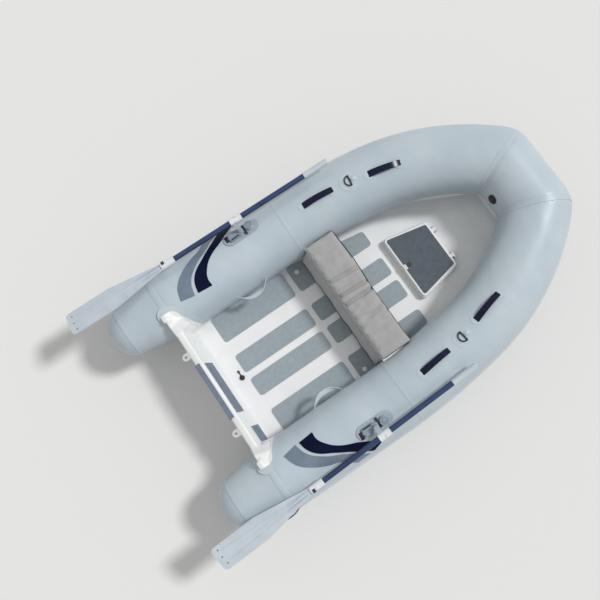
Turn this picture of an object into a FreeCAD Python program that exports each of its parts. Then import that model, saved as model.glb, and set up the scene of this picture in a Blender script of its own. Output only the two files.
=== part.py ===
import FreeCAD, Part
import Sketcher
import math
import os
import re
from FreeCAD import Placement, Rotation, Vector

# Inflatable rib boat: tubes on a rigid V hull, decked floor, bow locker, seat and two stowed oars.
# Millimetres. +X is forward, +Y to port, +Z up. Stations whose name ends in _x are measured
# forward from the aft end of the tubes; ahead() turns one into the boat's own frame, whose
# origin lies on the ground under the middle of the overall length.

doc = FreeCAD.newDocument("InflatableTender")
sheet = doc.addObject("Spreadsheet::Sheet", "Sizes")

driving = (
    # alias, value, what it measures
    ("tube_radius", 219, "radius of the air tubes"),
    ("tube_offset", 647, "centreline to the axis of a side tube"),
    ("tube_height", 332, "ground to the axis of a side tube, aft"),
    ("cone_length", 290, "taper aft of the straight tube"),
    ("cone_tip_radius", 165, "radius where the taper meets the end cap"),
    ("dome_depth", 110, "bulge of the end cap"),
    ("side_run", 677, "straight stretch of a side tube"),
    ("sheer_radius", 1500, "upward bend amidships"),
    ("sheer_angle", 5.57, "slope of the tubes forward of that bend"),
    ("flank_radius", 4000, "slow inward bend"),
    ("flank_angle", 10.1, "turn of the slow bend"),
    ("shoulder_radius", 1443, "quick inward bend"),
    ("shoulder_angle", 33.37, "turn of the quick bend"),
    ("shoulder_run", 33.5, "short stretch up to the bow seam"),
    ("strake_radius", 17, "half-round rub strake"),
    ("strake_drop", 50, "rub strake below the tube's axis"),
    ("strake_gap", 0.1, "strake's flat back off the tube's skin"),
    ("deck_drop", 152, "deck below the axis of a side tube, aft"),
    ("guard_thickness", 4, "keel guard strip"),
    ("guard_margin", 6, "keel land left bare on each side of the guard"),
    ("seat_gap", 0.3, "gap left where a piece rests on another"),
    ("transom_x", 366, "aft edge of the transom's top"),
    ("transom_rake", 13, "lean of the transom"),
    ("transom_thickness", 48, "transom board"),
    ("transom_rise", 270, "transom's top above the deck"),
    ("transom_edge", 9, "rounding of the transom's edges"),
    ("ear_rise", 95, "transom's ears above its top"),
    ("ear_start", 425, "centreline to the foot of an ear"),
    ("ear_half_width", 562, "centreline to the tip of an ear"),
    ("knee_length", 205, "corner fairings forward of the transom's top edge"),
    ("knee_inner", 412, "centreline to a corner fairing"),
    ("motor_pad_half_width", 200, "outer motor pad"),
    ("motor_pad_height", 160, "outer motor pad down the aft face"),
    ("motor_pad_thickness", 6, "outer motor pad"),
    ("motor_pad_lap", 28, "outer motor pad over the transom's top"),
    ("inner_pad_half_width", 184, "inner motor pad"),
    ("inner_pad_height", 135, "inner motor pad"),
    ("inner_pad_drop", 25, "inner motor pad below the transom's top"),
    ("small_pad_width", 112, "small pad inside the transom"),
    ("small_pad_height", 140, "small pad inside the transom"),
    ("small_pad_offset", 352, "centreline to the small pad"),
    ("small_pad_foot", 20, "small pad above the deck"),
    ("eye_offset", 286, "centreline to a tow eye"),
    ("eye_drop", 50, "tow eye below the transom's top"),
    ("eye_reach", 36, "tow eye hole aft of the transom"),
    ("eye_radius", 24, "tow eye's round end"),
    ("eye_hole_radius", 9, "tow eye hole"),
    ("eye_thickness", 8, "tow eye plate"),
    ("pad_thickness", 4, "deck pads"),
    ("pad_corner", 22, "deck pads' corner radius"),
    ("pad_row_inner", 24, "centreline to the inner rows"),
    ("pad_row_split", 157, "outer edge of the inner rows"),
    ("pad_row_outer", 262, "inner edge of the outer rows"),
    ("pad_row_edge", 452, "outer edge of the outer rows"),
    ("pad_row_forward", 372, "their outer edge at the forward end"),
    ("pad_aft_x", 592, "aft edge of the aft pads"),
    ("pad_break_x", 1152, "forward edge of the aft pads"),
    ("pad_seam", 38, "bare deck between the pad groups"),
    ("pad_forward_x", 1758, "forward edge of the forward pads"),
    ("locker_aft_x", 1815, "aft edge of the locker coaming"),
    ("locker_length", 320, "locker coaming along the boat"),
    ("locker_aft_half", 240, "half width of the coaming aft"),
    ("locker_forward_half", 182, "half width of the coaming forward"),
    ("locker_rise", 45, "coaming above the deck"),
    ("locker_wall", 30, "coaming rim"),
    ("locker_depth", 64, "locker's floor below the deck"),
    ("coaming_edge", 9, "rounding of the coaming's top"),
    ("lid_edge", 4, "rounding of the lid's top"),
    ("locker_corner", 24, "coaming corner radius"),
    ("coaming_seat", 4, "coaming let into the deck"),
    ("lid_margin", 8, "lid inside the coaming's outline"),
    ("lid_thickness", 12, "locker lid"),
    ("lid_pad_margin", 14, "lid left bare around its pad"),
    ("finger_well_radius", 17, "finger well behind the latch"),
    ("latch_length", 24, "latch along the boat"),
    ("latch_width", 34, "latch across the boat"),
    ("hinge_offset", 105, "centreline to a lid hinge"),
    ("hinge_pin_radius", 3, "lid hinge pin"),
    ("hinge_bore_gap", 0.3, "play of the pin in the lid's ear"),
    ("hinge_ear_width", 24, "lid's hinge ear"),
    ("hinge_cheek", 8, "hinge cheek beside the ear"),
    ("hinge_side_gap", 0.5, "play beside the ear"),
    ("hinge_radius", 8, "round end of ears and cheeks"),
    ("hinge_reach", 12, "pin forward of the coaming's edge"),
    ("seat_x", 1445, "middle of the seat"),
    ("seat_half_width", 437, "half length of the seat across the boat"),
    ("seat_depth", 226, "seat along the boat"),
    ("seat_rise", 300, "cushion's top above the deck"),
    ("cushion_height", 46, "cushion"),
    ("board_height", 18, "seat board"),
    ("board_depth", 205, "seat board along the boat"),
    ("bag_depth", 284, "bag below the seat along the boat"),
    ("bag_height", 160, "bag below the seat"),
    ("bag_half_width", 405, "bag below the seat, half its length"),
    ("bracket_length", 190, "seat bracket on the tube"),
    ("bracket_height", 26, "seat bracket"),
    ("bracket_reach", 30, "seat bracket under the board"),
    ("blank_sink", 60, "depth below the skin where the blank of a tube fitting starts"),
    ("blank_height", 120, "height of the blank of a tube fitting"),
    ("handle_length", 222, "grab handle"),
    ("handle_width", 42, "grab handle aft"),
    ("handle_tip_width", 36, "grab handle forward"),
    ("handle_rise", 24, "grab handle above the tube"),
    ("handle_strap", 6, "thickness of the handle's bridge"),
    ("handle_foot", 24, "solid foot of a handle"),
    ("handle_aft_path", 1203, "aft handle's middle along the tube"),
    ("handle_forward_path", 1657, "forward handle's middle along the tube"),
    ("handle_aft_roll", -2, "aft handle outboard of the crown"),
    ("handle_forward_roll", -7, "forward handle outboard of the crown"),
    ("ring_path", 1405, "D-ring along the tube"),
    ("ring_patch_radius", 60, "D-ring patch"),
    ("ring_patch_thickness", 3, "D-ring patch"),
    ("ring_radius", 26, "D-ring"),
    ("ring_wire_radius", 3, "D-ring wire"),
    ("ring_web_width", 26, "webbing that holds the D-ring"),
    ("strap_path", 533, "lifting strap's middle along the tube"),
    ("strap_length", 215, "lifting strap"),
    ("strap_rise", 42, "lifting strap off the tube"),
    ("strap_foot", 14, "end of a lifting strap"),
    ("strap_width", 30, "lifting strap"),
    ("strap_thickness", 5, "lifting strap"),
    ("strap_roll", 98, "lifting strap inboard of the crown"),
    ("valve_radius", 31, "air valve flange"),
    ("valve_cap_radius", 20, "air valve cap"),
    ("valve_thickness", 6, "air valve flange"),
    ("valve_cap_rise", 12, "air valve cap above the tube"),
    ("valve_roll", 72, "air valve inboard of the crown"),
    ("deck_eye_radius", 8, "deck eye"),
    ("rowlock_path", 665, "rowlock along the tube"),
    ("rowlock_roll", 20.5, "rowlock outboard of the crown"),
    ("rowlock_lean", 3, "lean of the rowlock pin aft"),
    ("rowlock_length", 250, "rowlock pad"),
    ("rowlock_width", 92, "rowlock pad"),
    ("rowlock_skin", 8, "rowlock pad on the tube"),
    ("hump_spread", 62, "pin to the middle of a hump"),
    ("hump_radius", 28, "humps fore and aft of the pin"),
    ("hump_rise", 22, "humps above the pad"),
    ("hump_edge", 8, "rounding of the humps"),
    ("saddle_width", 34, "saddle between the humps"),
    ("saddle_rise", 9, "saddle above the pad"),
    ("socket_radius", 21, "boss round the pin"),
    ("socket_rise", 24, "boss above the pad"),
    ("pin_radius", 8, "rowlock pin"),
    ("pin_gap", 0.3, "play of the pin in its housing"),
    ("pin_depth", 22, "rowlock pin in its housing"),
    ("swivel_radius", 17, "swivel head"),
    ("oar_height", 64, "oar axis above the tube's surface"),
    ("oar_offset", 62, "oar axis outboard of the pin"),
    ("oar_toe", 3.5, "angle of the stowed oar outboard aft"),
    ("clamp_length", 84, "clamp round the oar"),
    ("clamp_radius", 25, "clamp round the oar"),
    ("clamp_shift", 15, "clamp forward of the pin"),
    ("arm_width", 30, "arm from swivel to clamp"),
    ("arm_height", 16, "arm from swivel to clamp"),
    ("shaft_radius", 17.5, "oar shaft"),
    ("shaft_aft", 470, "oar shaft aft of the pin"),
    ("shaft_forward", 540, "oar shaft forward of the pin"),
    ("grip_length", 155, "oar grip"),
    ("grip_radius", 20, "oar grip"),
    ("grip_overlap", 20, "shaft inside the grip"),
    ("collar_length", 95, "collar between shaft and blade"),
    ("collar_radius", 23, "collar between shaft and blade"),
    ("collar_overlap", 30, "shaft inside the collar"),
    ("blade_tip", 1218, "blade tip aft of the pin"),
    ("blade_full", 900, "aft end of the blade's taper"),
    ("blade_half_width", 82, "blade"),
    ("blade_neck_half", 22, "blade at the collar"),
    ("blade_thickness", 9, "blade"),
    ("blade_corner", 26, "blade tip corner radius"),
    ("blade_rib_radius", 13, "blade's middle rib"),
    ("drain_x", 556, "drain plug"),
    ("drain_offset", 12, "drain plug to port of the centreline"),
    ("drain_radius", 17, "drain plug"),
    ("drain_rise", 9, "drain plug above the deck"),
    ("drain_strap", 46, "strap that keeps the drain plug"),
    ("deck_eye_x", 1242, "deck eyes beside the seat"),
    ("deck_eye_offset", 392, "centreline to a deck eye"),
    ("deck_eye_rise", 16, "deck eye above the deck"),
    ("stem_eye_height", 190, "ground to the bow eye"),
    ("stem_eye_radius", 18, "bow eye"),
    ("stem_eye_wire", 4, "bow eye rod"),
)
for row, (alias, number, meaning) in enumerate(driving, start=1):
    sheet.set("A%d" % row, alias)
    sheet.set("B%d" % row, str(number))
    sheet.set("C%d" % row, meaning)
    sheet.setAlias("B%d" % row, alias)
doc.recompute()

nodes = {}
deck_level = "(tube_height - deck_drop)"
transom_level = "(tube_height - deck_drop + transom_rise)"


def formula(text):
    """Spell out where the sizes named in a formula are kept."""
    return re.sub(r"\b[a-z][a-z_0-9]*\b(?!\()", r"Sizes.\g<0>", str(text))


def size(text):
    """Value of a size, or of a formula of sizes."""
    result = sheet.evalExpression(formula(text))
    return float(getattr(result, "Value", result))


def bind(piece, **formulas):
    for name, text in formulas.items():
        piece.setExpression(name, formula(text))
    return piece


def keep(piece, node):
    piece.Label = node
    nodes[node] = piece
    return piece


def primitive(kind, name, where=Placement(), **formulas):
    piece = bind(doc.addObject("Part::" + kind, name), **formulas)
    piece.Placement = where
    return piece


def shift(x=0, y=0, z=0):
    return Placement(Vector(x, y, z), Rotation())


def turned(axis, angle):
    return Placement(Vector(), Rotation(axis, angle))


ALONG_X, ALONG_Y, ALONG_Z = Vector(1, 0, 0), Vector(0, 1, 0), Vector(0, 0, 1)
Z_TO_X = Rotation(ALONG_Y, 90)
Z_TO_Y = Rotation(ALONG_X, -90)
SECTION = Rotation(Vector(1, 1, 1), 120)
PROFILE = Rotation(ALONG_X, 90)


def block(name, length, width, height, where=Placement()):
    """Box that stands on the middle of its base."""
    middle = shift(-size(length) / 2, -size(width) / 2)
    return primitive("Box", name, where.multiply(middle), Length=length, Width=width, Height=height)


def rod(name, radius, length, where=Placement(), axis=Rotation()):
    """Cylinder that starts at a place and runs along local Z turned by axis."""
    return primitive("Cylinder", name, where.multiply(Placement(Vector(), axis)), Radius=radius, Height=length)


def join(name, *pieces):
    fused = doc.addObject("Part::MultiFuse", name)
    fused.Shapes = list(pieces)
    return fused


def cut(name, base, *tools):
    result = base
    for number, tool in enumerate(tools):
        step = doc.addObject("Part::Cut", name if number == len(tools) - 1 else "%s_%d" % (name, number))
        step.Base = result
        step.Tool = tool
        result = step
    return result


def common(name, *pieces):
    shared = doc.addObject("Part::MultiCommon", name)
    shared.Shapes = list(pieces)
    return shared


def mirror(name, source):
    """The same piece on the starboard side."""
    other = doc.addObject("Part::Mirroring", name)
    other.Source = source
    other.Base = Vector()
    other.Normal = ALONG_Y
    return other


def outline(name, corners, where):
    """Closed sketch through corners, each a pair of formulas."""
    sketch = doc.addObject("Sketcher::SketchObject", name)
    sketch.Placement = where
    places = [Vector(size(u), size(v), 0) for u, v in corners]
    count = len(places)
    for number, start in enumerate(places):
        sketch.addGeometry(Part.LineSegment(start, places[(number + 1) % count]))
    for number in range(count):
        sketch.addConstraint(Sketcher.Constraint("Coincident", number, 2, (number + 1) % count, 1))
    for number, corner in enumerate(corners):
        for kind, text in zip(("DistanceX", "DistanceY"), corner):
            index = sketch.addConstraint(Sketcher.Constraint(kind, -1, 1, number, 1, size(text)))
            sketch.setExpression("Constraints[%d]" % index, formula(text))
    return sketch


def extrude(name, sketch, length, symmetric=False):
    prism = doc.addObject("Part::Extrusion", name)
    prism.Base = sketch
    prism.DirMode = "Normal"
    prism.Solid = True
    prism.Symmetric = symmetric
    return bind(prism, LengthFwd=length)


def loft(name, sections):
    skin = doc.addObject("Part::Loft", name)
    skin.Sections = sections
    skin.Solid = True
    skin.Ruled = True
    return skin


def fillet(name, base, radius, chosen):
    """Round the edges of a piece for which chosen(edge) holds."""
    doc.recompute()
    rounded = doc.addObject("Part::Fillet", name)
    rounded.Base = base
    rounded.Edges = [
        (number, size(radius), size(radius))
        for number, edge in enumerate(base.Shape.Edges, start=1)
        if chosen(edge)
    ]
    return rounded


def runs_along(direction, where=Placement()):
    """Test for straight edges parallel to a direction of a place."""
    line = where.Rotation.multVec(direction)

    def chosen(edge):
        if edge.Curve.TypeId != "Part::GeomLine":
            return False
        return abs(edge.tangentAt(edge.FirstParameter).dot(line)) > 0.999

    return chosen


def at_height(height):
    """Test for edges that lie level at a height."""

    def chosen(edge):
        return all(abs(point.z - height) < 0.01 for point in (edge.valueAt(edge.FirstParameter),
                   edge.valueAt(edge.LastParameter), edge.CenterOfMass))

    return chosen


def lies_in(point, normal):
    """Test for edges whose middle lies in a plane."""

    def chosen(edge):
        return abs((edge.CenterOfMass - point).dot(normal)) < 0.01

    return chosen


# Path of the port tube's axis, from the tapered end to the seam at the bow.
# Each place has local X along the tube, local Y to port and local Z up.
# kind, size, turn
tube_path = (
    ("run", "side_run", None),
    ("rise", "sheer_radius", "sheer_angle"),
    ("turn", "flank_radius", "flank_angle"),
    ("turn", "shoulder_radius", "shoulder_angle"),
    ("run", "shoulder_run", None),
)


def travel(kind, measure, angle):
    """Move from one end of a stretch to the other."""
    if kind == "run":
        return shift(measure)
    reach, sag = measure * math.sin(math.radians(angle)), measure * (1 - math.cos(math.radians(angle)))
    if kind == "rise":
        return Placement(Vector(reach, 0, sag), Rotation(ALONG_Y, -angle))
    return Placement(Vector(reach, -sag, 0), Rotation(ALONG_Z, -angle))


def stretch_length(kind, measure, angle):
    return measure if kind == "run" else measure * math.radians(angle)


def walk_tube(start, distance=None):
    """Places where each stretch starts, then the place at a distance, or at the path's end."""
    places, here, left = [], start, distance
    for kind, measure, turn in tube_path:
        length, angle = size(measure), size(turn) if turn else 0
        places.append(here)
        whole = stretch_length(kind, length, angle)
        if left is not None and left <= whole:
            part = left / whole
            step = travel(kind, left if kind == "run" else length, angle * part)
            return places, here.multiply(step)
        here = here.multiply(travel(kind, length, angle))
        if left is not None:
            left -= whole
    return places, here


def tube_place(start, path, roll):
    """Place on a tube's axis with local Z out through the skin, rolled outboard of the crown."""
    return walk_tube(start, size(path))[1].multiply(turned(ALONG_X, -size(roll)))


def rowlock_pin(start):
    """Foot of the rowlock pin on the tube's skin, with local Z up along the pin."""
    skin = shift(0, 0, size("tube_radius"))
    return tube_place(start, "rowlock_path", "rowlock_roll").multiply(skin).multiply(
        turned(ALONG_Y, -size("rowlock_lean")))


def oar_line(start):
    """Axis of the stowed oar abreast of the pin, with local X towards the grip."""
    return rowlock_pin(start).multiply(turned(ALONG_Z, -size("oar_toe"))).multiply(
        shift(0, size("oar_offset"), size("oar_height")))


# The overall length runs from the blade tips to the strake round the bow.
aft_end = shift(size("dome_depth + cone_length"), size("tube_offset"), size("tube_height"))
bow_end_x = walk_tube(aft_end)[1].Base.x + size(
    "(tube_radius + strake_gap + strake_radius) * sqrt(1 - (strake_drop / tube_radius)^2)"
    " + 0.2 * strake_radius * strake_drop / tube_radius")
blade_end = Vector(*[size(text) for text in (
    "blade_corner - blade_tip", "blade_half_width - blade_corner", "blade_thickness / 2")])
blade_end_x = oar_line(aft_end).multVec(blade_end).x - size("blade_corner")
origin_x = (bow_end_x + blade_end_x) / 2


def ahead(station):
    """Station forward of the tubes' aft end, in the boat's own frame."""
    return (size(station) if isinstance(station, str) else station) - origin_x


tube_start = shift(ahead("dome_depth + cone_length"), size("tube_offset"), size("tube_height"))
stretches, bow_corner = walk_tube(tube_start)
heading = size("flank_angle + shoulder_angle")
seam_turn = 90 - heading
bow_half = bow_corner.Base.y


def torus_place(kind, here, radius, turn):
    """Where a torus stands to follow a bend."""
    if kind == "rise":
        ring = Rotation(Vector(0, 0, -1), Vector(1, 0, 0), Vector(0, -1, 0), "XYZ")
        return here.multiply(Placement(Vector(0, 0, size(radius)), ring))
    return here.multiply(Placement(Vector(0, -size(radius)), Rotation(ALONG_Z, 90 - size(turn))))


# Air tubes


def tube_chain(name, radius):
    """Solids that follow the port tube's path."""
    solids = []
    for number, ((kind, measure, turn), here) in enumerate(zip(tube_path, stretches)):
        label = "%s_%d" % (name, number)
        if kind == "run":
            solids.append(rod(label, radius, measure, here, Z_TO_X))
        else:
            solids.append(primitive("Torus", label, torus_place(kind, here, measure, turn),
                                    Radius1=measure, Radius2=radius, Angle3=turn))
    return solids


def seam_room(name, ahead_of_seam):
    """Everything ahead of the port bow seam's plane, or everything behind it."""
    place = bow_corner.multiply(turned(ALONG_Z, -seam_turn / 2))
    return block(name, "3 * tube_radius", "6 * tube_radius", "6 * tube_radius", place.multiply(
        shift((1.5 if ahead_of_seam else -1.5) * size("tube_radius"), 0, -3 * size("tube_radius"))))


def side_tubes():
    seam_ball = primitive("Sphere", "port_seam_ball", bow_corner, Radius="tube_radius")
    whole = join("port_tube_whole", *tube_chain("port_tube_stretch", "tube_radius"), seam_ball)
    port = cut("port_tube", whole, seam_room("port_seam_side", True))
    keep(port, "tube_port")
    keep(mirror("starboard_tube", port), "tube_starboard")


def bow_tube():
    across = Placement(bow_corner.Base, bow_corner.Rotation.multiply(Rotation(ALONG_Z, -seam_turn)))
    span = doc.addObject("Part::Cylinder", "bow_span")
    bind(span, Radius="tube_radius")
    span.Height = 2 * bow_half
    span.Placement = across.multiply(Placement(Vector(), Z_TO_X))
    balls = [primitive("Sphere", "bow_ball_port", bow_corner, Radius="tube_radius")]
    balls.append(mirror("bow_ball_starboard", balls[0]))
    whole = join("bow_whole", span, *balls)
    behind = seam_room("bow_seam_behind", False)
    keep(cut("bow_tube", whole, behind, mirror("bow_seam_behind_mirror", behind)), "tube_bow")


def tube_ends():
    """Tapered ends with domed caps."""
    foot = tube_start.multiply(Placement(Vector(), Rotation(ALONG_Y, -90)))
    cone = primitive("Cone", "port_cone", foot, Radius1="tube_radius", Radius2="cone_tip_radius",
                     Height="cone_length")
    ball = "(cone_tip_radius^2 + dome_depth^2) / (2 * dome_depth)"
    centre = foot.multiply(shift(0, 0, size("cone_length + dome_depth - " + ball)))
    dome = primitive("Sphere", "port_dome", centre, Radius=ball,
                     Angle1="asin((%s - dome_depth) / (%s))" % (ball, ball))
    port = join("port_tube_end", cone, dome)
    keep(port, "tube_end_port")
    keep(mirror("starboard_tube_end", port), "tube_end_starboard")


# strake's section in shares of its radius: out from the tube's skin, up along it
strake_profile = ((0, 1), (0.45, 0.95), (0.8, 0.65), (1, 0.2), (1, -0.2), (0.8, -0.65), (0.45, -0.95), (0, -1))


def strake_section(name, here):
    """Strake's section on the tube's outer side, in the plane across the path."""
    fall = "(strake_drop / tube_radius)"
    level = "sqrt(1 - %s^2)" % fall
    corners = []
    for out, up in strake_profile:
        away = "(tube_radius + strake_gap + %g * strake_radius)" % out
        rise = "(%g * strake_radius)" % up
        corners.append(("%s * %s + %s * %s" % (away, level, rise, fall),
                        "%s * %s - %s * %s" % (rise, level, away, fall)))
    return outline(name, corners, here.multiply(Placement(Vector(), SECTION)))


def strake_bend(name, here, centre, axis, turn):
    bend = doc.addObject("Part::Revolution", name)
    bend.Source = strake_section(name + "_section", here)
    bend.Base = here.multVec(centre)
    bend.Axis = here.Rotation.multVec(axis)
    bend.Solid = True
    bind(bend, Angle=turn)
    return bend


def rub_strakes():
    """Half-round strakes along the tubes' outer sides."""
    pieces = []
    for number, ((kind, measure, turn), here) in enumerate(zip(tube_path, stretches)):
        name = "port_strake_%d" % number
        if kind == "run":
            pieces.append(extrude(name, strake_section(name + "_section", here), measure))
        elif kind == "rise":
            pieces.append(strake_bend(name, here, Vector(0, 0, size(measure)), -ALONG_Y, turn))
        else:
            pieces.append(strake_bend(name, here, Vector(0, -size(measure), 0), -ALONG_Z, turn))
    pieces.append(strake_bend("port_strake_corner", bow_corner, Vector(), -ALONG_Z, "%.9g" % seam_turn))
    port = join("port_strake", *pieces)
    keep(port, "rub_strake_port")
    keep(mirror("starboard_strake", port), "rub_strake_starboard")
    across = Placement(bow_corner.Base, bow_corner.Rotation.multiply(Rotation(ALONG_Z, -seam_turn)))
    keep(extrude("bow_strake", strake_section("bow_strake_section", across), "%.9g" % (2 * bow_half)),
         "rub_strake_bow")


def tube_relief():
    """The tubes' room, a little wider, which soft pieces keep out of."""
    port = join("port_relief", *tube_chain("port_relief_stretch", "tube_radius + seat_gap"))
    return [port, mirror("starboard_relief", port)]


# Hull

# path along the tube, keel half width, keel's share of the way up to the tube's axis,
# chine inboard of and below the axis, rail inboard of and below it, deck edge inboard of it,
# deck's share of the way up from the deck aft to the axis
hull_lines = (
    (0, 40, 0, 127, 207, 90, 140, 150, 0),
    (900, 40, 0, 130, 215, 92, 150, 148, 0),
    (1508, 38, 0.01, 140, 232, 85, 165, 160, 0),
    (1730, 36, 0.065, 144, 232, 90, 152, 168, 0.01),
    (1884, 32, 0.15, 150, 225, 95, 140, 175, 0.06),
    (2040, 29, 0.25, 146, 214, 92, 130, 162, 0.12),
    (2180, 26, 0.36, 140, 205, 90, 120, 150, 0.2),
    (2340, 20, 0.55, 130, 190, 80, 100, 130, 0.4),
)


def between(low, high, share):
    return low + (high - low) * share


def hull_sections(name, corners_of):
    sections = []
    for number, (path, half, rise, *edges) in enumerate(hull_lines):
        axis = walk_tube(tube_start, path)[1].Base
        corners = corners_of(axis, half, between(size("guard_thickness"), axis.z, rise), edges)
        corners = corners + [(-y, z) for y, z in reversed(corners)]
        where = Placement(Vector(axis.x, 0, 0), SECTION)
        sections.append(outline("%s_%d" % (name, number), corners, where))
    return sections


def hull_corners(axis, half, keel, edges):
    chine_in, chine_drop, rail_in, rail_drop, deck_in, deck_share = edges
    return [
        (half, keel),
        (axis.y - chine_in, axis.z - chine_drop),
        (axis.y - rail_in, axis.z - rail_drop),
        (axis.y - deck_in, between(size(deck_level), axis.z, deck_share)),
    ]


def guard_corners(axis, half, keel, edges):
    half = half - size("guard_margin")
    return [(half, keel - size("guard_thickness")), (half, keel)]


def rake_place():
    """Top edge of the transom's aft face: local X forward through the board, local Z up along it."""
    return Placement(Vector(ahead("transom_x"), 0, size(transom_level)),
                     Rotation(ALONG_Y, -size("transom_rake")))


def locker_outline(name, margin, height):
    """Trapezoid of the locker, drawn in by a margin."""
    inset = "(%s)" % margin
    corners = [
        (inset, "locker_aft_half - " + inset),
        ("locker_length - " + inset, "locker_forward_half - " + inset),
        ("locker_length - " + inset, "0 - locker_forward_half + " + inset),
        (inset, "0 - locker_aft_half + " + inset),
    ]
    return outline(name, corners, shift(ahead("locker_aft_x"), 0, height))


def locker_prism(name, margin, height, thickness):
    prism = extrude(name + "_prism", locker_outline(name + "_outline", margin, height), thickness)
    return fillet(name, prism, "locker_corner - (%s) / 2" % margin, runs_along(ALONG_Z))


def hull():
    body = loft("hull_whole", hull_sections("hull_section", hull_corners))
    reach = 1000
    behind = primitive("Box", "hull_stern_plane")
    behind.Length, behind.Width, behind.Height = reach, 2 * reach, 2 * reach
    behind.Placement = rake_place().multiply(shift(size("transom_thickness") - reach, -reach, -reach))
    floor = size(deck_level + " - locker_depth")
    well = locker_prism("locker_well", "locker_wall", floor, "locker_depth + locker_rise")
    seat = locker_prism("locker_seat", "0", size(deck_level + " - coaming_seat"), "locker_rise + coaming_seat")
    keep(cut("hull_body", body, nodes["tube_port"], nodes["tube_starboard"], nodes["tube_bow"],
             behind, well, seat), "hull")
    guard = loft("guard_whole", hull_sections("guard_section", guard_corners))
    keep(cut("guard_strip", guard, behind), "keel_guard")


def deck_pads():
    """Four rows of pads; the outer forward pads narrow with the tubes."""
    rows = (
        # inner edge, outer edge, outer edge's forward end
        ("pad_row_inner", "pad_row_split", "pad_row_split"),
        ("pad_row_outer", "pad_row_edge", "pad_row_forward"),
    )
    groups = (
        # name, aft edge, forward edge
        ("aft", "pad_aft_x", "pad_break_x"),
        ("forward", "pad_break_x + pad_seam", "pad_forward_x"),
    )
    for group, aft, forward in groups:
        pads = []
        for number, (inner, outer, narrow) in enumerate(rows):
            name = "pad_%s_%d" % (group, number)
            length = "%s - (%s)" % (forward, aft)
            end = narrow if group == "forward" else outer
            corners = [("0", inner), (length, inner), (length, end), ("pad_seam", outer), ("0", outer)]
            if end == outer:
                corners.pop(3)
            place = shift(ahead(aft), 0, size(deck_level))
            slab = extrude(name + "_slab", outline(name + "_outline", corners, place), "pad_thickness")
            pads.append(fillet(name, slab, "pad_corner", runs_along(ALONG_Z)))
            pads.append(mirror(name + "_mirror", pads[-1]))
        keep(join("deck_pads_%s_all" % group, *pads), "deck_pads_%s" % group)


def deck_fittings():
    """Drain plug with its strap, and the eyes beside the seat."""
    level = size(deck_level)
    place = shift(ahead("drain_x"), size("drain_offset"), level)
    plug = rod("drain_head", "drain_radius", "drain_rise", place)
    grip = block("drain_grip", "drain_radius / 2", "1.5 * drain_radius", "2 * drain_rise", place)
    strap = block("drain_strap", "drain_radius / 2", "drain_strap", "drain_rise / 3",
                  place.multiply(shift(0, size("drain_strap / 2"))))
    button = rod("drain_button", "drain_radius / 2", "drain_rise / 2", place.multiply(shift(0, size("drain_strap"))))
    keep(join("drain", plug, grip, strap, button), "drain_plug")
    eyes = []
    for side in (1, -1):
        foot = shift(ahead("deck_eye_x"), side * size("deck_eye_offset"), level + size("pad_thickness"))
        base = rod("deck_eye_base_%d" % side, "2 * deck_eye_radius", "deck_eye_rise / 4", foot)
        post = rod("deck_eye_post_%d" % side, "deck_eye_radius", "deck_eye_rise", foot)
        eyes.append(join("deck_eye_%d" % side, base, post))
    keep(join("deck_eye_pair", *eyes), "deck_eyes")


# Transom


def transom():
    rake = rake_place()
    lean = "cos(transom_rake)"
    foot = size(transom_level + " / " + lean)
    stretch = 1 / math.cos(math.radians(size("transom_rake")))
    keel_half, chine_in, chine_drop = hull_lines[0][1], hull_lines[0][3], hull_lines[0][4]
    corners = [
        (keel_half, "guard_thickness / " + lean),
        ("tube_offset - %g" % chine_in, "(tube_height - %g) / %s" % (chine_drop, lean)),
        ("ear_half_width", deck_level + " / " + lean),
        ("ear_half_width", "(%s + ear_rise) / %s" % (transom_level, lean)),
        ("ear_half_width - 50", "(%s + ear_rise) / %s" % (transom_level, lean)),
        ("ear_start", transom_level + " / " + lean),
    ]
    corners = corners + [("0 - (%s)" % y, z) for y, z in reversed(corners)]
    board = extrude("transom_whole", outline("transom_outline", corners,
                    rake.multiply(Placement(Vector(0, 0, -foot), SECTION))), "transom_thickness")
    across = rake.Rotation.multVec(ALONG_X)
    deck = size(deck_level) * stretch - foot

    def above_deck(edge):
        middle = rake.inverse().multVec(edge.CenterOfMass)
        line = edge.tangentAt(edge.FirstParameter)
        return abs(line.dot(across)) < 0.1 and middle.z > deck + 60

    rounded = fillet("transom_rounded", board, "transom_edge", above_deck)
    tools = [nodes[node] for node in ("tube_port", "tube_starboard", "tube_end_port", "tube_end_starboard")]
    overhang = block("ear_overhang", "ear_rise", "2 * tube_offset", "ear_rise",
                     shift(ahead("transom_x") - size("ear_rise") / 2, 0, size(transom_level)))
    keep(cut("transom_board", rounded, overhang, *tools), "transom")


# roll inboard of the tube's crown, where the fairing runs out ahead of the transom's top edge,
# its fall towards the tube's skin
knee_lines = (
    (22, 62, 0.5),
    (43, 107, 0.45),
    (62, 137, 0.32),
    (82, 166, 0.2),
    (104, 185, 0.2),
    (126, 195, 0.2),
    (150, 200, 0.2),
)


def knee_section(name, distance):
    """Fairing's section so far ahead of the transom's top edge, from inside the tube outwards."""
    corners = []
    for roll, run_out, fall in knee_lines:
        reach = "(tube_radius + (%g - %s) * %g)" % (run_out, distance, fall)
        corners.append(("tube_offset - %s * sin(%g)" % (reach, roll), "tube_height + %s * cos(%g)" % (reach, roll)))
    for roll, run_out, fall in reversed(knee_lines):
        corners.append(("tube_offset - tube_radius / 2 * sin(%g)" % roll,
                        "tube_height + tube_radius / 2 * cos(%g)" % roll))
    where = Placement(Vector(ahead("transom_x + " + distance), 0, 0), SECTION)
    return outline(name, corners, where)


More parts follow.
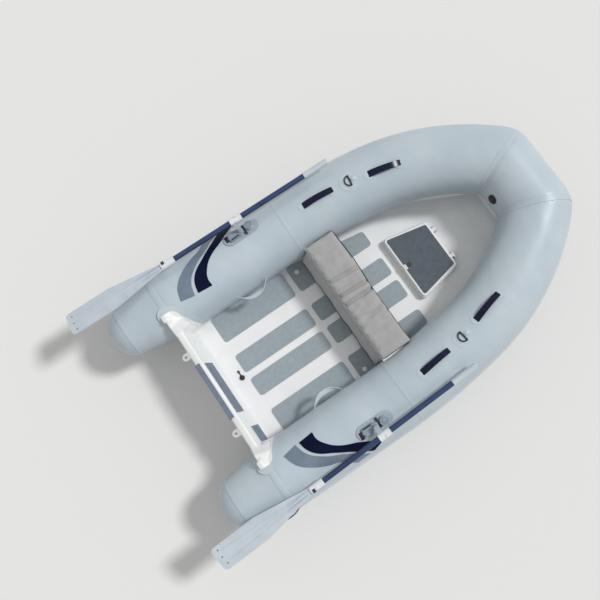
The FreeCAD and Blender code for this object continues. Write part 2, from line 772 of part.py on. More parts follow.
def transom_knees():
    """Corner fairings from the transom's ears down the tubes' inner sides to the deck."""
    blank = loft("knee_blank", [knee_section("knee_aft", "0"), knee_section("knee_forward", "knee_length")])
    room = block("knee_room", "knee_length", "2 * (tube_offset - knee_inner)", "transom_rise + ear_rise",
                 shift(ahead("transom_x + knee_length / 2"), size("tube_offset"), size(deck_level)))
    aft = block("knee_aft_room", "2 * knee_length", "2 * tube_offset", "2 * " + transom_level,
                rake_place().multiply(shift(-size("knee_length"), 0, -size(transom_level))))
    port = cut("port_knee", common("knee_whole", room, blank), aft, nodes["tube_port"], nodes["tube_end_port"],
               nodes["transom"])
    keep(port, "transom_knee_port")
    keep(mirror("starboard_knee", port), "transom_knee_starboard")


def motor_pads():
    rake = rake_place()
    thick, lap = "motor_pad_thickness", "motor_pad_lap"
    width = "2 * motor_pad_half_width"
    face = block("outer_pad_face", thick, width, "motor_pad_height",
                 rake.multiply(shift(-size(thick) / 2, 0, -size("motor_pad_height"))))
    top = block("outer_pad_top", lap + " + " + thick, width, thick,
                rake.multiply(shift(size("(%s - %s) / 2" % (lap, thick)))))
    keep(join("outer_pad", face, top), "motor_pad_outer")
    inner = block("inner_pad", thick, "2 * inner_pad_half_width", "inner_pad_height", rake.multiply(
        shift(size("transom_thickness + motor_pad_thickness / 2"), 0, -size("inner_pad_drop + inner_pad_height"))))
    keep(inner, "motor_pad_inner")
    foot = size("(transom_rise - small_pad_foot) / cos(transom_rake)")
    small = block("small_pad", thick, "small_pad_width", "small_pad_height", rake.multiply(
        shift(size("transom_thickness + motor_pad_thickness / 2"), -size("small_pad_offset"), -foot)))
    keep(small, "transom_small_pad")


def tow_eyes():
    """Plates with a round eye, welded to the transom's aft face."""
    face = size("transom_x + eye_drop * tan(transom_rake)")
    centre = shift(ahead(face) - size("eye_reach"), size("eye_offset"),
                   size(transom_level + " - eye_drop - eye_thickness / 2"))
    tongue = block("eye_tongue", "eye_reach + eye_radius", "2 * eye_radius", "eye_thickness",
                   centre.multiply(shift(size("(eye_reach + eye_radius) / 2"))))
    disc = rod("eye_disc", "eye_radius", "eye_thickness", centre)
    hole = rod("eye_hole", "eye_hole_radius", "eye_thickness", centre)
    port = cut("port_eye", join("port_eye_whole", tongue, disc), hole, nodes["transom"])
    keep(join("tow_eye_pair", port, mirror("starboard_eye", port)), "tow_eyes")


# Bow locker


def locker():
    deck, rise = size(deck_level), size("locker_rise")
    outer = locker_prism("coaming_outer", "0", deck - size("coaming_seat"), "locker_rise + coaming_seat")
    inner = locker_prism("coaming_inner", "locker_wall", deck - size("coaming_seat"),
                         "locker_rise + coaming_seat")
    coaming = cut("coaming_ring", outer, inner)
    keep(fillet("coaming", coaming, "coaming_edge", at_height(deck + rise)), "locker_coaming")

    top = deck + rise + size("seat_gap")
    pin_x = ahead("locker_aft_x + locker_length + hinge_reach")
    pin_z = top + size("lid_thickness / 2 + 2")
    lid = fillet("lid_plate", locker_prism("lid_slab", "lid_margin", top, "lid_thickness"), "lid_edge",
                 at_height(top + size("lid_thickness")))
    well_x = ahead("locker_aft_x + lid_margin + latch_length + finger_well_radius + 6")
    finger = rod("finger_well", "finger_well_radius", "lid_thickness", shift(well_x, 0, top + 3))
    lid_hollow = cut("lid_hollow", lid, finger)
    ears, cheeks, pins = [], [], []
    for side in (1, -1):
        middle = Placement(Vector(pin_x, side * size("hinge_offset"), pin_z), Z_TO_Y)
        start = middle.multiply(shift(0, 0, -size("hinge_ear_width") / 2))
        knuckle = rod("ear_round_%d" % side, "hinge_radius - 1", "hinge_ear_width", start)
        tongue_length = size("hinge_reach + lid_margin + locker_corner")
        tongue = primitive("Box", "ear_tongue_%d" % side)
        tongue.Length, tongue.Width = tongue_length, size("hinge_ear_width")
        bind(tongue, Height="lid_thickness / 2")
        tongue.Placement = shift(pin_x - tongue_length, side * size("hinge_offset") - size("hinge_ear_width") / 2,
                                 top + size("lid_thickness / 2"))
        bore = rod("ear_bore_%d" % side, "hinge_pin_radius + hinge_bore_gap", "hinge_ear_width", start)
        ears.append(cut("ear_%d" % side, join("ear_whole_%d" % side, knuckle, tongue), bore))
        half = size("hinge_ear_width / 2 + hinge_side_gap")
        for end in (1, -1):
            base = shift(pin_x, side * size("hinge_offset") + end * (half + size("hinge_cheek") / 2), 0)
            name = "cheek_%d_%d" % (side, end)
            post = block(name + "_post", "2 * hinge_radius", "hinge_cheek", "%.9g" % (pin_z - deck),
                         base.multiply(shift(0, 0, deck)))
            crown = rod(name + "_crown", "hinge_radius", "hinge_cheek",
                        Placement(Vector(pin_x, base.Base.y - size("hinge_cheek") / 2, pin_z), Z_TO_Y))
            cheeks.append(join(name, post, crown))
        reach = half + size("hinge_cheek")
        pins.append(rod("hinge_pin_%d" % side, "hinge_pin_radius", "2 * %.9g" % reach,
                        Placement(Vector(pin_x, side * size("hinge_offset") - reach, pin_z), Z_TO_Y)))
    keep(cut("hinge_pair", join("hinge_pair_whole", *cheeks, *pins), nodes["hull"]), "locker_hinges")
    keep(join("lid_whole", lid_hollow, *ears), "locker_lid")

    pad_margin = "lid_margin + lid_pad_margin"
    pad = locker_prism("lid_pad_plate", pad_margin, top + size("lid_thickness"), "pad_thickness")
    pad_well = rod("pad_well", "finger_well_radius", "pad_thickness", shift(well_x, 0, top + size("lid_thickness")))
    latch_slot = block("latch_slot", "2 * latch_length", "latch_width + 4", "pad_thickness",
                       shift(ahead("locker_aft_x + lid_margin + 4"), 0, top + size("lid_thickness")))
    keep(cut("lid_pad_cut", pad, pad_well, latch_slot), "locker_lid_pad")
    latch = block("latch_plate", "latch_length", "latch_width", "pad_thickness + 2",
                  shift(ahead("locker_aft_x + lid_margin + 2 + latch_length / 2"), 0,
                        top + size("lid_thickness")))
    keep(fillet("latch_round", latch, "pad_thickness", runs_along(ALONG_Z)), "locker_latch")


# Seat


def seat():
    middle = ahead("seat_x")
    top = size(deck_level + " + seat_rise")
    board_top = top - size("cushion_height") - size("seat_gap")
    board_low = board_top - size("board_height")
    cushion = block("cushion_block", "seat_depth", "2 * seat_half_width", "cushion_height",
                    shift(middle, 0, board_top + size("seat_gap")))
    cushion_round = fillet("cushion_round", cushion, "cushion_height / 3", runs_along(ALONG_Z))
    keep(cut("cushion_cut", cushion_round, *tube_relief()), "seat_cushion")
    board = block("board_block", "board_depth", "2 * seat_half_width", "board_height",
                  shift(middle, 0, board_low))
    keep(cut("board_cut", board, nodes["tube_port"], nodes["tube_starboard"]), "seat_board")
    bag = block("bag_block", "bag_depth", "2 * bag_half_width", "bag_height",
                shift(middle - size("bag_depth - seat_depth") / 4, 0,
                      board_low - size("seat_gap") - size("bag_height")))
    keep(fillet("bag_round", bag, "bag_height / 4", runs_along(ALONG_Y)), "seat_bag")
    inner = size("tube_offset - tube_radius")
    bracket = primitive("Box", "bracket_block")
    bind(bracket, Length="bracket_length", Height="bracket_height")
    bracket.Width = size("bracket_reach") + size("tube_radius") / 2
    bracket.Placement = shift(middle - size("bracket_length") / 2, inner - size("bracket_reach") + 20,
                              board_low - size("bracket_height"))
    port = cut("bracket_cut", bracket, nodes["tube_port"])
    keep(port, "seat_bracket_port")
    keep(mirror("starboard_bracket", port), "seat_bracket_starboard")


# Fittings on the tubes


def arch(name, place, length, rise, thickness, foot, plan):
    """Bowed bridge on the skin under a plan outline: the room between two round arcs."""
    half, inner = size(length) / 2, size(length) / 2 - size(foot)
    crown, hollow = size(rise) + size(thickness), size(rise)
    reach = size(length)
    rounds = []
    for part, chord, height in (("outer", half, crown), ("inner", inner, hollow)):
        radius = (chord * chord + height * height) / (2 * height)
        drum = doc.addObject("Part::Cylinder", "%s_%s" % (name, part))
        drum.Radius = radius
        drum.Height = reach
        drum.Placement = place.multiply(Placement(Vector(0, -reach / 2, height - radius), Z_TO_Y))
        rounds.append(drum)
    outer, gap = rounds
    clear = cut(name + "_clear", plan, nodes["tube_port"])
    return cut(name, common(name + "_blank", outer, clear), gap)


def handle(name, path, roll):
    """Grab handle, narrower forward, that bows off the skin."""
    half = size("handle_length / 2")
    skin = tube_place(tube_start, path, roll).multiply(shift(0, 0, size("tube_radius")))
    corners = [
        (-half, "0 - handle_width / 2"), (half, "0 - handle_tip_width / 2"),
        (half, "handle_tip_width / 2"), (-half, "handle_width / 2"),
    ]
    foot = skin.multiply(shift(0, 0, -size("blank_sink")))
    plan = extrude(name + "_plan", outline(name + "_outline", corners, foot), "blank_height")
    rounded = fillet(name + "_rounded", plan, "handle_tip_width / 3", runs_along(ALONG_Z, skin))
    return arch(name, skin, "handle_length", "handle_rise", "handle_strap", "handle_foot", rounded)


def handles():
    aft = handle("handle_aft", "handle_aft_path", "handle_aft_roll")
    forward = handle("handle_forward", "handle_forward_path", "handle_forward_roll")
    port = join("handles_port_pair", aft, forward)
    keep(port, "grab_handles_port")
    keep(mirror("handles_starboard_pair", port), "grab_handles_starboard")


def d_rings():
    """Round patch, webbing and a D-shaped ring that lies on it."""
    place = tube_place(tube_start, "ring_path", "handle_aft_roll")
    skin = shift(0, 0, size("tube_radius"))
    outer = rod("ring_patch_shell", "tube_radius + ring_patch_thickness", "4 * ring_patch_radius",
                place.multiply(shift(-2 * size("ring_patch_radius"))), Z_TO_X)
    disc = rod("ring_patch_disc", "ring_patch_radius", "blank_height",
               place.multiply(skin).multiply(shift(0, 0, -size("blank_sink"))))
    patch = cut("ring_patch", common("ring_patch_blank", outer, disc), nodes["tube_port"])
    lift = size("ring_patch_thickness + ring_wire_radius + seat_gap")
    ring_place = place.multiply(skin).multiply(shift(0, 0, lift))
    bow = primitive("Torus", "ring_bow", ring_place.multiply(turned(ALONG_Z, 90)),
                    Radius1="ring_radius", Radius2="ring_wire_radius")
    bow.Angle3 = 180
    bar = rod("ring_bar", "ring_wire_radius", "2 * ring_radius",
              ring_place.multiply(shift(0, -size("ring_radius"))), Z_TO_Y)
    ends = [primitive("Sphere", "ring_end_%d" % end, ring_place.multiply(shift(0, end * size("ring_radius"))),
                      Radius="ring_wire_radius * 1.3") for end in (1, -1)]
    web = block("ring_web", "3 * ring_wire_radius + 6", "ring_web_width",
                "2 * ring_wire_radius + ring_patch_thickness + 3",
                place.multiply(skin).multiply(shift(2, 0, 0)))
    port = cut("port_d_ring", join("port_d_ring_whole", patch, bow, bar, *ends, web), nodes["tube_port"])
    keep(port, "d_ring_port")
    keep(mirror("starboard_d_ring", port), "d_ring_starboard")


def lifting_straps():
    """Webbing straps that bow off the tubes' inner sides."""
    skin = tube_place(tube_start, "strap_path", "0 - strap_roll").multiply(shift(0, 0, size("tube_radius")))
    plan = block("strap_plan", "strap_length", "strap_width", "blank_height",
                 skin.multiply(shift(0, 0, -size("blank_sink"))))
    port = arch("port_strap", skin, "strap_length", "strap_rise", "strap_thickness", "strap_foot", plan)
    keep(port, "lifting_strap_port")
    keep(mirror("starboard_strap", port), "lifting_strap_starboard")


def air_valve():
    centre = Placement(Vector(bow_corner.Base.x, 0, bow_corner.Base.z), Rotation(ALONG_Y, -size("valve_roll")))
    skin = centre.multiply(shift(0, 0, size("tube_radius") - 20))
    flange = rod("valve_flange", "valve_radius", "20 + valve_thickness", skin)
    cap = rod("valve_cap", "valve_cap_radius", "20 + valve_cap_rise", skin)
    keep(cut("valve_cut", join("valve_whole", flange, cap), nodes["tube_bow"]), "air_valve_bow")


def bow_eye():
    """Rod eye on the stem."""
    axes = [(walk_tube(tube_start, line[0])[1].Base, line[2]) for line in hull_lines]
    lines = [(axis.x, between(size("guard_thickness"), axis.z, rise)) for axis, rise in axes]
    height = size("stem_eye_height")
    for (x0, z0), (x1, z1) in zip(lines, lines[1:]):
        if z0 <= height <= z1:
            stem = Vector(x0 + (x1 - x0) * (height - z0) / (z1 - z0), 0, height)
            slope = math.degrees(math.atan2(z1 - z0, x1 - x0))
    place = Placement(stem, Rotation(ALONG_Y, -slope)).multiply(Placement(Vector(), PROFILE))
    ring = primitive("Torus", "bow_eye_ring", place, Radius1="stem_eye_radius", Radius2="stem_eye_wire")
    keep(cut("bow_eye_cut", ring, nodes["hull"], nodes["keel_guard"]), "bow_eye")


# Rowlocks and oars


def rowlock():
    place = tube_place(tube_start, "rowlock_path", "rowlock_roll")
    half = size("(rowlock_length - rowlock_width) / 2")
    column = place.multiply(shift(0, 0, size("tube_radius - blank_sink")))
    slab = block("rowlock_slab", "rowlock_length - rowlock_width", "rowlock_width", "blank_height", column)
    rounds = [rod("rowlock_round_%d" % end, "rowlock_width / 2", "blank_height",
                  column.multiply(shift(end * half))) for end in (1, -1)]
    oval = join("rowlock_oval", slab, *rounds)
    shell = rod("rowlock_shell", "tube_radius + rowlock_skin", "rowlock_length",
                place.multiply(shift(-size("rowlock_length") / 2)), Z_TO_X)
    base = common("rowlock_base", oval, shell)

    pin_foot = rowlock_pin(tube_start)
    low = pin_foot.multiply(shift(0, 0, -20))
    humps = []
    for end in (1, -1):
        hump = rod("rowlock_hump_%d" % end, "hump_radius", "rowlock_skin + hump_rise + 20",
                   low.multiply(shift(end * size("hump_spread"))))
        top = pin_foot.multVec(Vector(0, 0, size("rowlock_skin + hump_rise")))
        up = pin_foot.Rotation.multVec(ALONG_Z)
        humps.append(fillet("rowlock_hump_round_%d" % end, hump, "hump_edge", lies_in(top, up)))
    saddle = block("rowlock_saddle", "2 * hump_spread", "saddle_width", "rowlock_skin + saddle_rise + 20", low)
    boss = rod("rowlock_boss", "socket_radius", "rowlock_skin + socket_rise + 20", low)
    socket = rod("housing_socket", "pin_radius + pin_gap", "pin_depth + 5", rowlock_pin(tube_start).multiply(
        shift(0, 0, size("rowlock_skin + socket_rise - pin_depth"))))
    port = cut("port_rowlock", join("rowlock_whole", base, saddle, boss, *humps), nodes["tube_port"], socket)
    keep(port, "rowlock_port")
    keep(mirror("starboard_rowlock", port), "rowlock_starboard")


def oars():
    pin_foot = rowlock_pin(tube_start)
    boss_top = size("rowlock_skin + socket_rise")
    reach = size("pin_depth") - 1
    pin = rod("swivel_pin", "pin_radius", "oar_height - rowlock_skin - socket_rise + pin_depth - 1",
              pin_foot.multiply(shift(0, 0, boss_top - reach)))
    head = rod("swivel_head", "swivel_radius", "oar_height - rowlock_skin - socket_rise - 5 + arm_height / 2",
               pin_foot.multiply(shift(0, 0, boss_top + 5)))
    arm = block("swivel_arm", "arm_width", "oar_offset", "arm_height",
                pin_foot.multiply(shift(0, size("oar_offset / 2"), size("oar_height - arm_height / 2"))))
    shaft_line = oar_line(tube_start)

    def along(start):
        return shaft_line.multiply(shift(start))

    clamp_start = size("clamp_shift - clamp_length / 2")
    clamp_solid = rod("clamp_sleeve", "clamp_radius", "clamp_length", along(clamp_start), Z_TO_X)
    clamp_bore = rod("clamp_bore", "shaft_radius", "clamp_length", along(clamp_start), Z_TO_X)
    swivel = cut("port_swivel", join("swivel_whole", pin, head, arm), clamp_solid)
    clamp_piece = cut("port_clamp", clamp_solid, clamp_bore)
    shaft = rod("port_shaft", "shaft_radius", "shaft_aft + shaft_forward", along(-size("shaft_aft")), Z_TO_X)

    grip_solid = rod("grip_solid", "grip_radius", "grip_length + grip_overlap",
                     along(size("shaft_forward - grip_overlap")), Z_TO_X)
    grip_end = along(size("shaft_forward + grip_length"))
    grip_round = fillet("grip_round", grip_solid, "grip_radius / 3",
                        lies_in(grip_end.Base, grip_end.Rotation.multVec(ALONG_X)))
    grip = cut("port_grip", grip_round, shaft)
    collar_solid = rod("collar_solid", "collar_radius", "collar_length",
                       along(-size("shaft_aft + collar_length - collar_overlap")), Z_TO_X)
    collar = cut("port_collar", collar_solid, shaft)

    neck = size("shaft_aft + collar_length - collar_overlap")
    corners = [
        (-neck, "blade_neck_half"), ("0 - blade_full", "blade_half_width"), ("0 - blade_tip", "blade_half_width"),
        ("0 - blade_tip", "0 - blade_half_width"), ("0 - blade_full", "0 - blade_half_width"),
        (-neck, "0 - blade_neck_half"),
    ]
    flat = extrude("blade_plate", outline("blade_outline", corners, shaft_line.multiply(
        shift(0, 0, -size("blade_thickness") / 2))), "blade_thickness")
    normal = runs_along(ALONG_Z, shaft_line)
    tip = -size("blade_tip")

    def at_tip(edge):
        middle = shaft_line.inverse().multVec(edge.CenterOfMass)
        return normal(edge) and abs(middle.x - tip) < 1

    rounded = fillet("blade_rounded", flat, "blade_corner", at_tip)
    rib_length = size("blade_tip") - neck - 60
    rib = primitive("Cone", "blade_rib", along(-neck).multiply(Placement(Vector(), Rotation(ALONG_Y, -90))),
                    Radius1="blade_rib_radius", Radius2="blade_thickness / 2")
    rib.Height = rib_length
    blade = join("port_blade", rounded, rib)

    for piece, node in ((swivel, "oar_swivel"), (clamp_piece, "oar_clamp"), (shaft, "oar_shaft"),
                        (grip, "oar_grip"), (collar, "oar_collar"), (blade, "oar_blade")):
        keep(piece, node + "_port")
        keep(mirror(piece.Name + "_mirror", piece), node + "_starboard")


side_tubes()
bow_tube()
tube_ends()
rub_strakes()
hull()
deck_pads()
deck_fittings()
transom()
transom_knees()
motor_pads()
tow_eyes()
locker()
seat()
handles()
d_rings()
lifting_straps()
air_valve()
bow_eye()
rowlock()
oars()
doc.recompute()

for piece in doc.Objects:
    if "Invalid" in piece.State or "Error" in piece.State:
        raise RuntimeError("%s did not rebuild: %s" % (piece.Name, piece.State))
os.makedirs("parts", exist_ok=True)
for node, piece in nodes.items():
    shape = piece.Shape
    if shape.isNull() or not shape.isValid() or not shape.Solids:
        raise RuntimeError("%s has no valid solid" % node)
for node, piece in nodes.items():
    piece.Shape.exportStep(os.path.join("parts", node + ".step"))
    print(node, len(piece.Shape.Solids), "solids", round(piece.Shape.Volume / 1000), "cm3")
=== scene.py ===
import math
import bpy
from mathutils import Matrix, Vector


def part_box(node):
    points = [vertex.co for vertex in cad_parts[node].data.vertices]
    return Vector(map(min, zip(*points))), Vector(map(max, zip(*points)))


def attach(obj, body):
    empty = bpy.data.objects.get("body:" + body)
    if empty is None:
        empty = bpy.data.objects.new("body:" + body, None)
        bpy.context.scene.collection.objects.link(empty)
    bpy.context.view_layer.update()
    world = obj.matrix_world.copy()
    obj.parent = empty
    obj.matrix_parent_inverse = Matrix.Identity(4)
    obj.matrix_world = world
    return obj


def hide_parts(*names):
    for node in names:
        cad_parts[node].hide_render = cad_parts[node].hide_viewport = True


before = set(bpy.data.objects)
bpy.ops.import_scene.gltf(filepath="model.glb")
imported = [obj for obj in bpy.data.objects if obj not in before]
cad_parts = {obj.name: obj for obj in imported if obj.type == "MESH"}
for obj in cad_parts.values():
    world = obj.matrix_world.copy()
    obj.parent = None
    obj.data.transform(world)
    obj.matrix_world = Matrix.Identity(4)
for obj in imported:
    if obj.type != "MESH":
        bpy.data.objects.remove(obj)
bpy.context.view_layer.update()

# Small rigid inflatable tender. Metres, bow to +X, port to +Y, floor at z = 0.

# Places. A station is measured forward from the aft end of the air tubes.
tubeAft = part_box("tube_end_port")[0].x
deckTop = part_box("deck_pads_aft")[0].z
tube = dict(
    radius=0.219, offset=0.647, height=0.332, start=0.400,
    # kind, length or radius, turn in degrees
    path=(("run", 0.677, 0), ("rise", 1.5, 5.57), ("turn", 4.0, 10.1), ("turn", 1.443, 33.37),
          ("run", 0.0335, 0)),
    pastEnd=9,  # any distance past the path's end stands for its end
)


def ahead(station):
    return tubeAft + station


def alongTube(distance, roll=0, lift=0):
    # place on the port tube: X along it, Z out of the skin, rolled outboard of the crown
    here = Matrix.Translation((ahead(tube["start"]), tube["offset"], tube["height"]))
    left = distance
    for kind, measure, turn in tube["path"]:
        whole = measure if kind == "run" else measure * math.radians(turn)
        part = min(left, whole)
        if kind == "run":
            here = here @ Matrix.Translation((part, 0, 0))
        else:
            angle = part / measure
            reach, sag = measure * math.sin(angle), measure * (1 - math.cos(angle))
            if kind == "rise":
                here = here @ Matrix.Translation((reach, 0, sag)) @ Matrix.Rotation(-angle, 4, "Y")
            else:
                here = here @ Matrix.Translation((reach, -sag, 0)) @ Matrix.Rotation(-angle, 4, "Z")
        left -= part
        if left <= 0:
            break
    out = Matrix.Translation((0, 0, tube["radius"] + lift))
    return here @ Matrix.Rotation(math.radians(-roll), 4, "X") @ out


# Materials

def linear(colour):
    channels = [int(colour[i:i + 2], 16) / 255 for i in (1, 3, 5)]
    return [c / 12.92 if c <= 0.04045 else ((c + 0.055) / 1.055) ** 2.4 for c in channels] + [1]


def addNode(tree, kind, settings=None, **links):
    # settings by attribute or socket name; links by socket name with spaces as underscores
    node = tree.nodes.new(kind)
    for name, value in (settings or {}).items():
        if name in node.inputs.keys():
            node.inputs[name].default_value = value
        else:
            setattr(node, name, value)
    for name, source in links.items():
        key = int(name[1:]) if name[0] == "i" and name[1:].isdigit() else name.replace("_", " ")
        tree.links.new(source, node.inputs[key])
    return node


def newMaterial(name, colour, roughness, **sockets):
    material = bpy.data.materials.new(name)
    material.use_nodes = True
    inputs = inputsOf(material)
    inputs["Base Color"].default_value = linear(colour)
    inputs["Roughness"].default_value = roughness
    for socket, value in sockets.items():
        inputs[socket.replace("_", " ")].default_value = value
    addNode(material.node_tree, "ShaderNodeTexCoord")
    return material


def inputsOf(material):
    return material.node_tree.nodes["Principled BSDF"].inputs


def placeOf(material):
    return material.node_tree.nodes["Texture Coordinate"].outputs["Object"]


def noiseHeight(material, size, detail=3):
    # noise with patches of a real size in mm
    noise = addNode(material.node_tree, "ShaderNodeTexNoise",
                    {"Scale": 1000 / size, "Detail": detail}, Vector=placeOf(material))
    return noise.outputs["Fac"]


def mottle(material, colour, other, size, detail=4):
    # soft drift between two close colours over patches of a real size in mm
    tree = material.node_tree
    drift = addNode(tree, "ShaderNodeMapRange", {"From Min": 0.35, "From Max": 0.65},
                    Value=noiseHeight(material, size, detail))
    mix = addNode(tree, "ShaderNodeMix", {"data_type": "RGBA"})
    mix.inputs[6].default_value = linear(colour)
    mix.inputs[7].default_value = linear(other)
    tree.links.new(drift.outputs["Result"], mix.inputs[0])
    tree.links.new(mix.outputs[2], inputsOf(material)["Base Color"])


def spreadRoughness(material, source, low, high):
    tree = material.node_tree
    spread = addNode(tree, "ShaderNodeMapRange", {"To Min": low, "To Max": high}, Value=source)
    tree.links.new(spread.outputs["Result"], inputsOf(material)["Roughness"])


def roughen(material, size, low, high):
    spreadRoughness(material, noiseHeight(material, size, 5), low, high)


def relief(material, *heights):
    # one bump per height, each with its real depth in mm
    tree = material.node_tree
    last = None
    for height, depth in heights:
        bump = addNode(tree, "ShaderNodeBump", {"Strength": 1.0, "Distance": depth / 1000},
                       Height=height)
        if last:
            tree.links.new(last.outputs["Normal"], bump.inputs["Normal"])
        last = bump
    tree.links.new(last.outputs["Normal"], inputsOf(material)["Normal"])


bandsPerMetre = 3.1832  # what the wave node draws at scale 1


def waveHeight(material, size, axis):
    # ribs of a real pitch in mm across one axis
    wave = {"wave_type": "BANDS", "bands_direction": axis, "Distortion": 0.0,
            "Scale": 1000 / size / bandsPerMetre}
    ribs = addNode(material.node_tree, "ShaderNodeTexWave", wave, Vector=placeOf(material))
    return ribs.outputs["Fac"]


def coatedFabric():
    # PVC coated polyester: satin, the cloth just shows through the coat, pale dust in patches
    material = newMaterial("coatedFabric", "#B2BEC7", 0.38, Specular_IOR_Level=0.45)
    mottle(material, "#B1BDC6", "#B9C5CB", 260, detail=6)
    roughen(material, 90, 0.30, 0.46)
    relief(material, (noiseHeight(material, 2.5), 0.12), (noiseHeight(material, 70, 2), 0.5))
    return material


def seamTape():
    # the same cloth glued over the joints, a shade lighter where the coat is newer
    material = newMaterial("seamTape", "#B7C2CA", 0.46, Specular_IOR_Level=0.4)
    mottle(material, "#B5C0C8", "#BCC7CE", 60)
    relief(material, (noiseHeight(material, 2.5), 0.15))
    return material


def gelcoat():
    # white gelcoat over glass fibre: glossy, faint orange peel, dulled by feet and sand
    material = newMaterial("gelcoat", "#E7E8E8", 0.25, Coat_Weight=0.25, Coat_Roughness=0.12)
    mottle(material, "#E4E5E5", "#EAEBEB", 180, detail=7)
    roughen(material, 40, 0.2, 0.42)
    relief(material, (noiseHeight(material, 9, 2), 0.06))
    return material


def deckFoam():
    # closed-cell foam sheet, brushed: matte, fine grain
    material = newMaterial("deckFoam", "#98A3A8", 0.85, Specular_IOR_Level=0.25)
    mottle(material, "#959FA5", "#9BA6AB", 30, detail=8)
    relief(material, (noiseHeight(material, 2, 5), 0.35), (waveHeight(material, 5, "Y"), 0.12))
    return material


def hatchFoam():
    # the same foam in charcoal on the locker lid
    material = newMaterial("hatchFoam", "#59626B", 0.85, Specular_IOR_Level=0.25)
    mottle(material, "#565F67", "#5D656D", 25, detail=8)
    relief(material, (noiseHeight(material, 2, 5), 0.35), (waveHeight(material, 5, "Y"), 0.12))
    return material


def mouldedPad():
    # moulded polyethylene wear pad: blue grey, pressed grain
    material = newMaterial("mouldedPad", "#6C7788", 0.6)
    mottle(material, "#687384", "#74808F", 40)
    grain = addNode(material.node_tree, "ShaderNodeTexVoronoi", {"Scale": 1000 / 2.5},
                    Vector=placeOf(material))
    relief(material, (grain.outputs["Distance"], 0.2))
    return material


def navyRubber():
    # moulded rubber: dark navy, satin with a broad sheen
    material = newMaterial("navyRubber", "#0A0F2A", 0.2, Specular_IOR_Level=0.16)
    mottle(material, "#090E27", "#0F1532", 30)
    roughen(material, 12, 0.14, 0.24)
    relief(material, (noiseHeight(material, 1.5), 0.05))
    return material


def whiteNylon():
    # moulded nylon: off-white, satin
    material = newMaterial("whiteNylon", "#DDE0E2", 0.38)
    mottle(material, "#D9DDE0", "#E1E4E5", 22)
    relief(material, (noiseHeight(material, 1.5), 0.04))
    return material


def greyNylon():
    # natural nylon: pale smoke grey, satin
    material = newMaterial("greyNylon", "#9BA6B0", 0.44)
    mottle(material, "#96A1AC", "#A1ACB5", 18)
    relief(material, (noiseHeight(material, 1.5), 0.05))
    return material


def smokeNylon():
    # the darker nylon of the rowlock's lock and cap, satin
    material = newMaterial("smokeNylon", "#8593A2", 0.4)
    mottle(material, "#808E9D", "#8C9AA8", 18)
    relief(material, (noiseHeight(material, 1.5), 0.05))
    return material


def webbing():
    # woven polyester strap: ribs across, pale grey
    material = newMaterial("webbing", "#C6CED4", 0.8, Sheen_Weight=0.2)
    mottle(material, "#C1C9D0", "#CCD3D8", 12)
    relief(material, (waveHeight(material, 3, "X"), 0.35), (waveHeight(material, 3, "Z"), 0.2))
    return material


def stainless():
    # drawn and polished stainless rod, with fine scratches
    material = newMaterial("stainless", "#C9CACB", 0.2, Metallic=1.0)
    roughen(material, 8, 0.14, 0.3)
    return material


def shadedDarkSteel():
    # bent steel rod in dark grey; the dark grey is partly painted shade
    material = newMaterial("shadedDarkSteel", "#2E3439", 0.34, Metallic=0.9)
    mottle(material, "#2A3035", "#363C42", 8)
    return material


def canvas():
    # woven acrylic canvas: mid grey, puckered between its seams
    # plain weave of about 1 mm, drawn at 2.2 mm so that it shows
    material = newMaterial("canvas", "#A1A2A2", 0.86, Sheen_Weight=0.25, Sheen_Roughness=0.5)
    mottle(material, "#9F9F9F", "#A6A6A5", 55, detail=7)
    relief(material, (noiseHeight(material, 42, 2), 2.2), (waveHeight(material, 2.2, "X"), 0.18),
           (waveHeight(material, 2.2, "Y"), 0.18), (noiseHeight(material, 18, 2), 0.5))
    return material


def pipingCord():
    # black woven edge binding
    material = newMaterial("pipingCord", "#17181B", 0.7)
    mottle(material, "#141518", "#202226", 6)
    relief(material, (noiseHeight(material, 2), 0.2))
    return material


def anodisedBlue():
    # drawn aluminium tube, anodised blue: lines along its length, metal sheen
    material = newMaterial("anodisedBlue", "#2F3E62", 0.28, Metallic=0.6)
    mottle(material, "#2B3A5D", "#35466B", 160)
    tree = material.node_tree
    lines = addNode(tree, "ShaderNodeMapping", {"Scale": (3, 700, 700)}, Vector=placeOf(material))
    grain = addNode(tree, "ShaderNodeTexNoise", {"Scale": 1.0, "Detail": 2},
                    Vector=lines.outputs["Vector"])
    spreadRoughness(material, grain.outputs["Fac"], 0.22, 0.4)
    return material


def bladePlastic():
    # injection moulded polypropylene: pale blue grey, satin, flow marks
    material = newMaterial("bladePlastic", "#BBC5CD", 0.36)
    mottle(material, "#B7C1CA", "#C1CAD1", 90)
    roughen(material, 30, 0.3, 0.45)
    relief(material, (noiseHeight(material, 14, 2), 0.08))
    return material


def blackPlasticAndPaintedShade():
    # moulded acetal: black, satin; the same black is also painted shade in the rowlock slots, blade
    # holes and the lid's finger well
    material = newMaterial("blackPlasticAndPaintedShade", "#1A1B1E", 0.4)
    mottle(material, "#17181B", "#222428", 10)
    relief(material, (noiseHeight(material, 1.5), 0.04))
    return material


def navyPrint():
    # thick vinyl glued to the tube: navy, smoother than the cloth
    material = newMaterial("navyPrint", "#080D29", 0.5, Specular_IOR_Level=0.06)
    mottle(material, "#070B25", "#0B112E", 80)
    relief(material, (noiseHeight(material, 3), 0.08))
    return material


def greyPrint():
    # the same vinyl in blue grey
    material = newMaterial("greyPrint", "#6C7989", 0.42, Specular_IOR_Level=0.3)
    mottle(material, "#687586", "#72808F", 80)
    relief(material, (noiseHeight(material, 3), 0.08))
    return material


finishes = {make.__name__: make() for make in (
    coatedFabric, seamTape, gelcoat, deckFoam, hatchFoam, mouldedPad, navyRubber, whiteNylon,
    greyNylon, smokeNylon, webbing, stainless, shadedDarkSteel, canvas, pipingCord, anodisedBlue,
    bladePlastic, blackPlasticAndPaintedShade, navyPrint, greyPrint)}

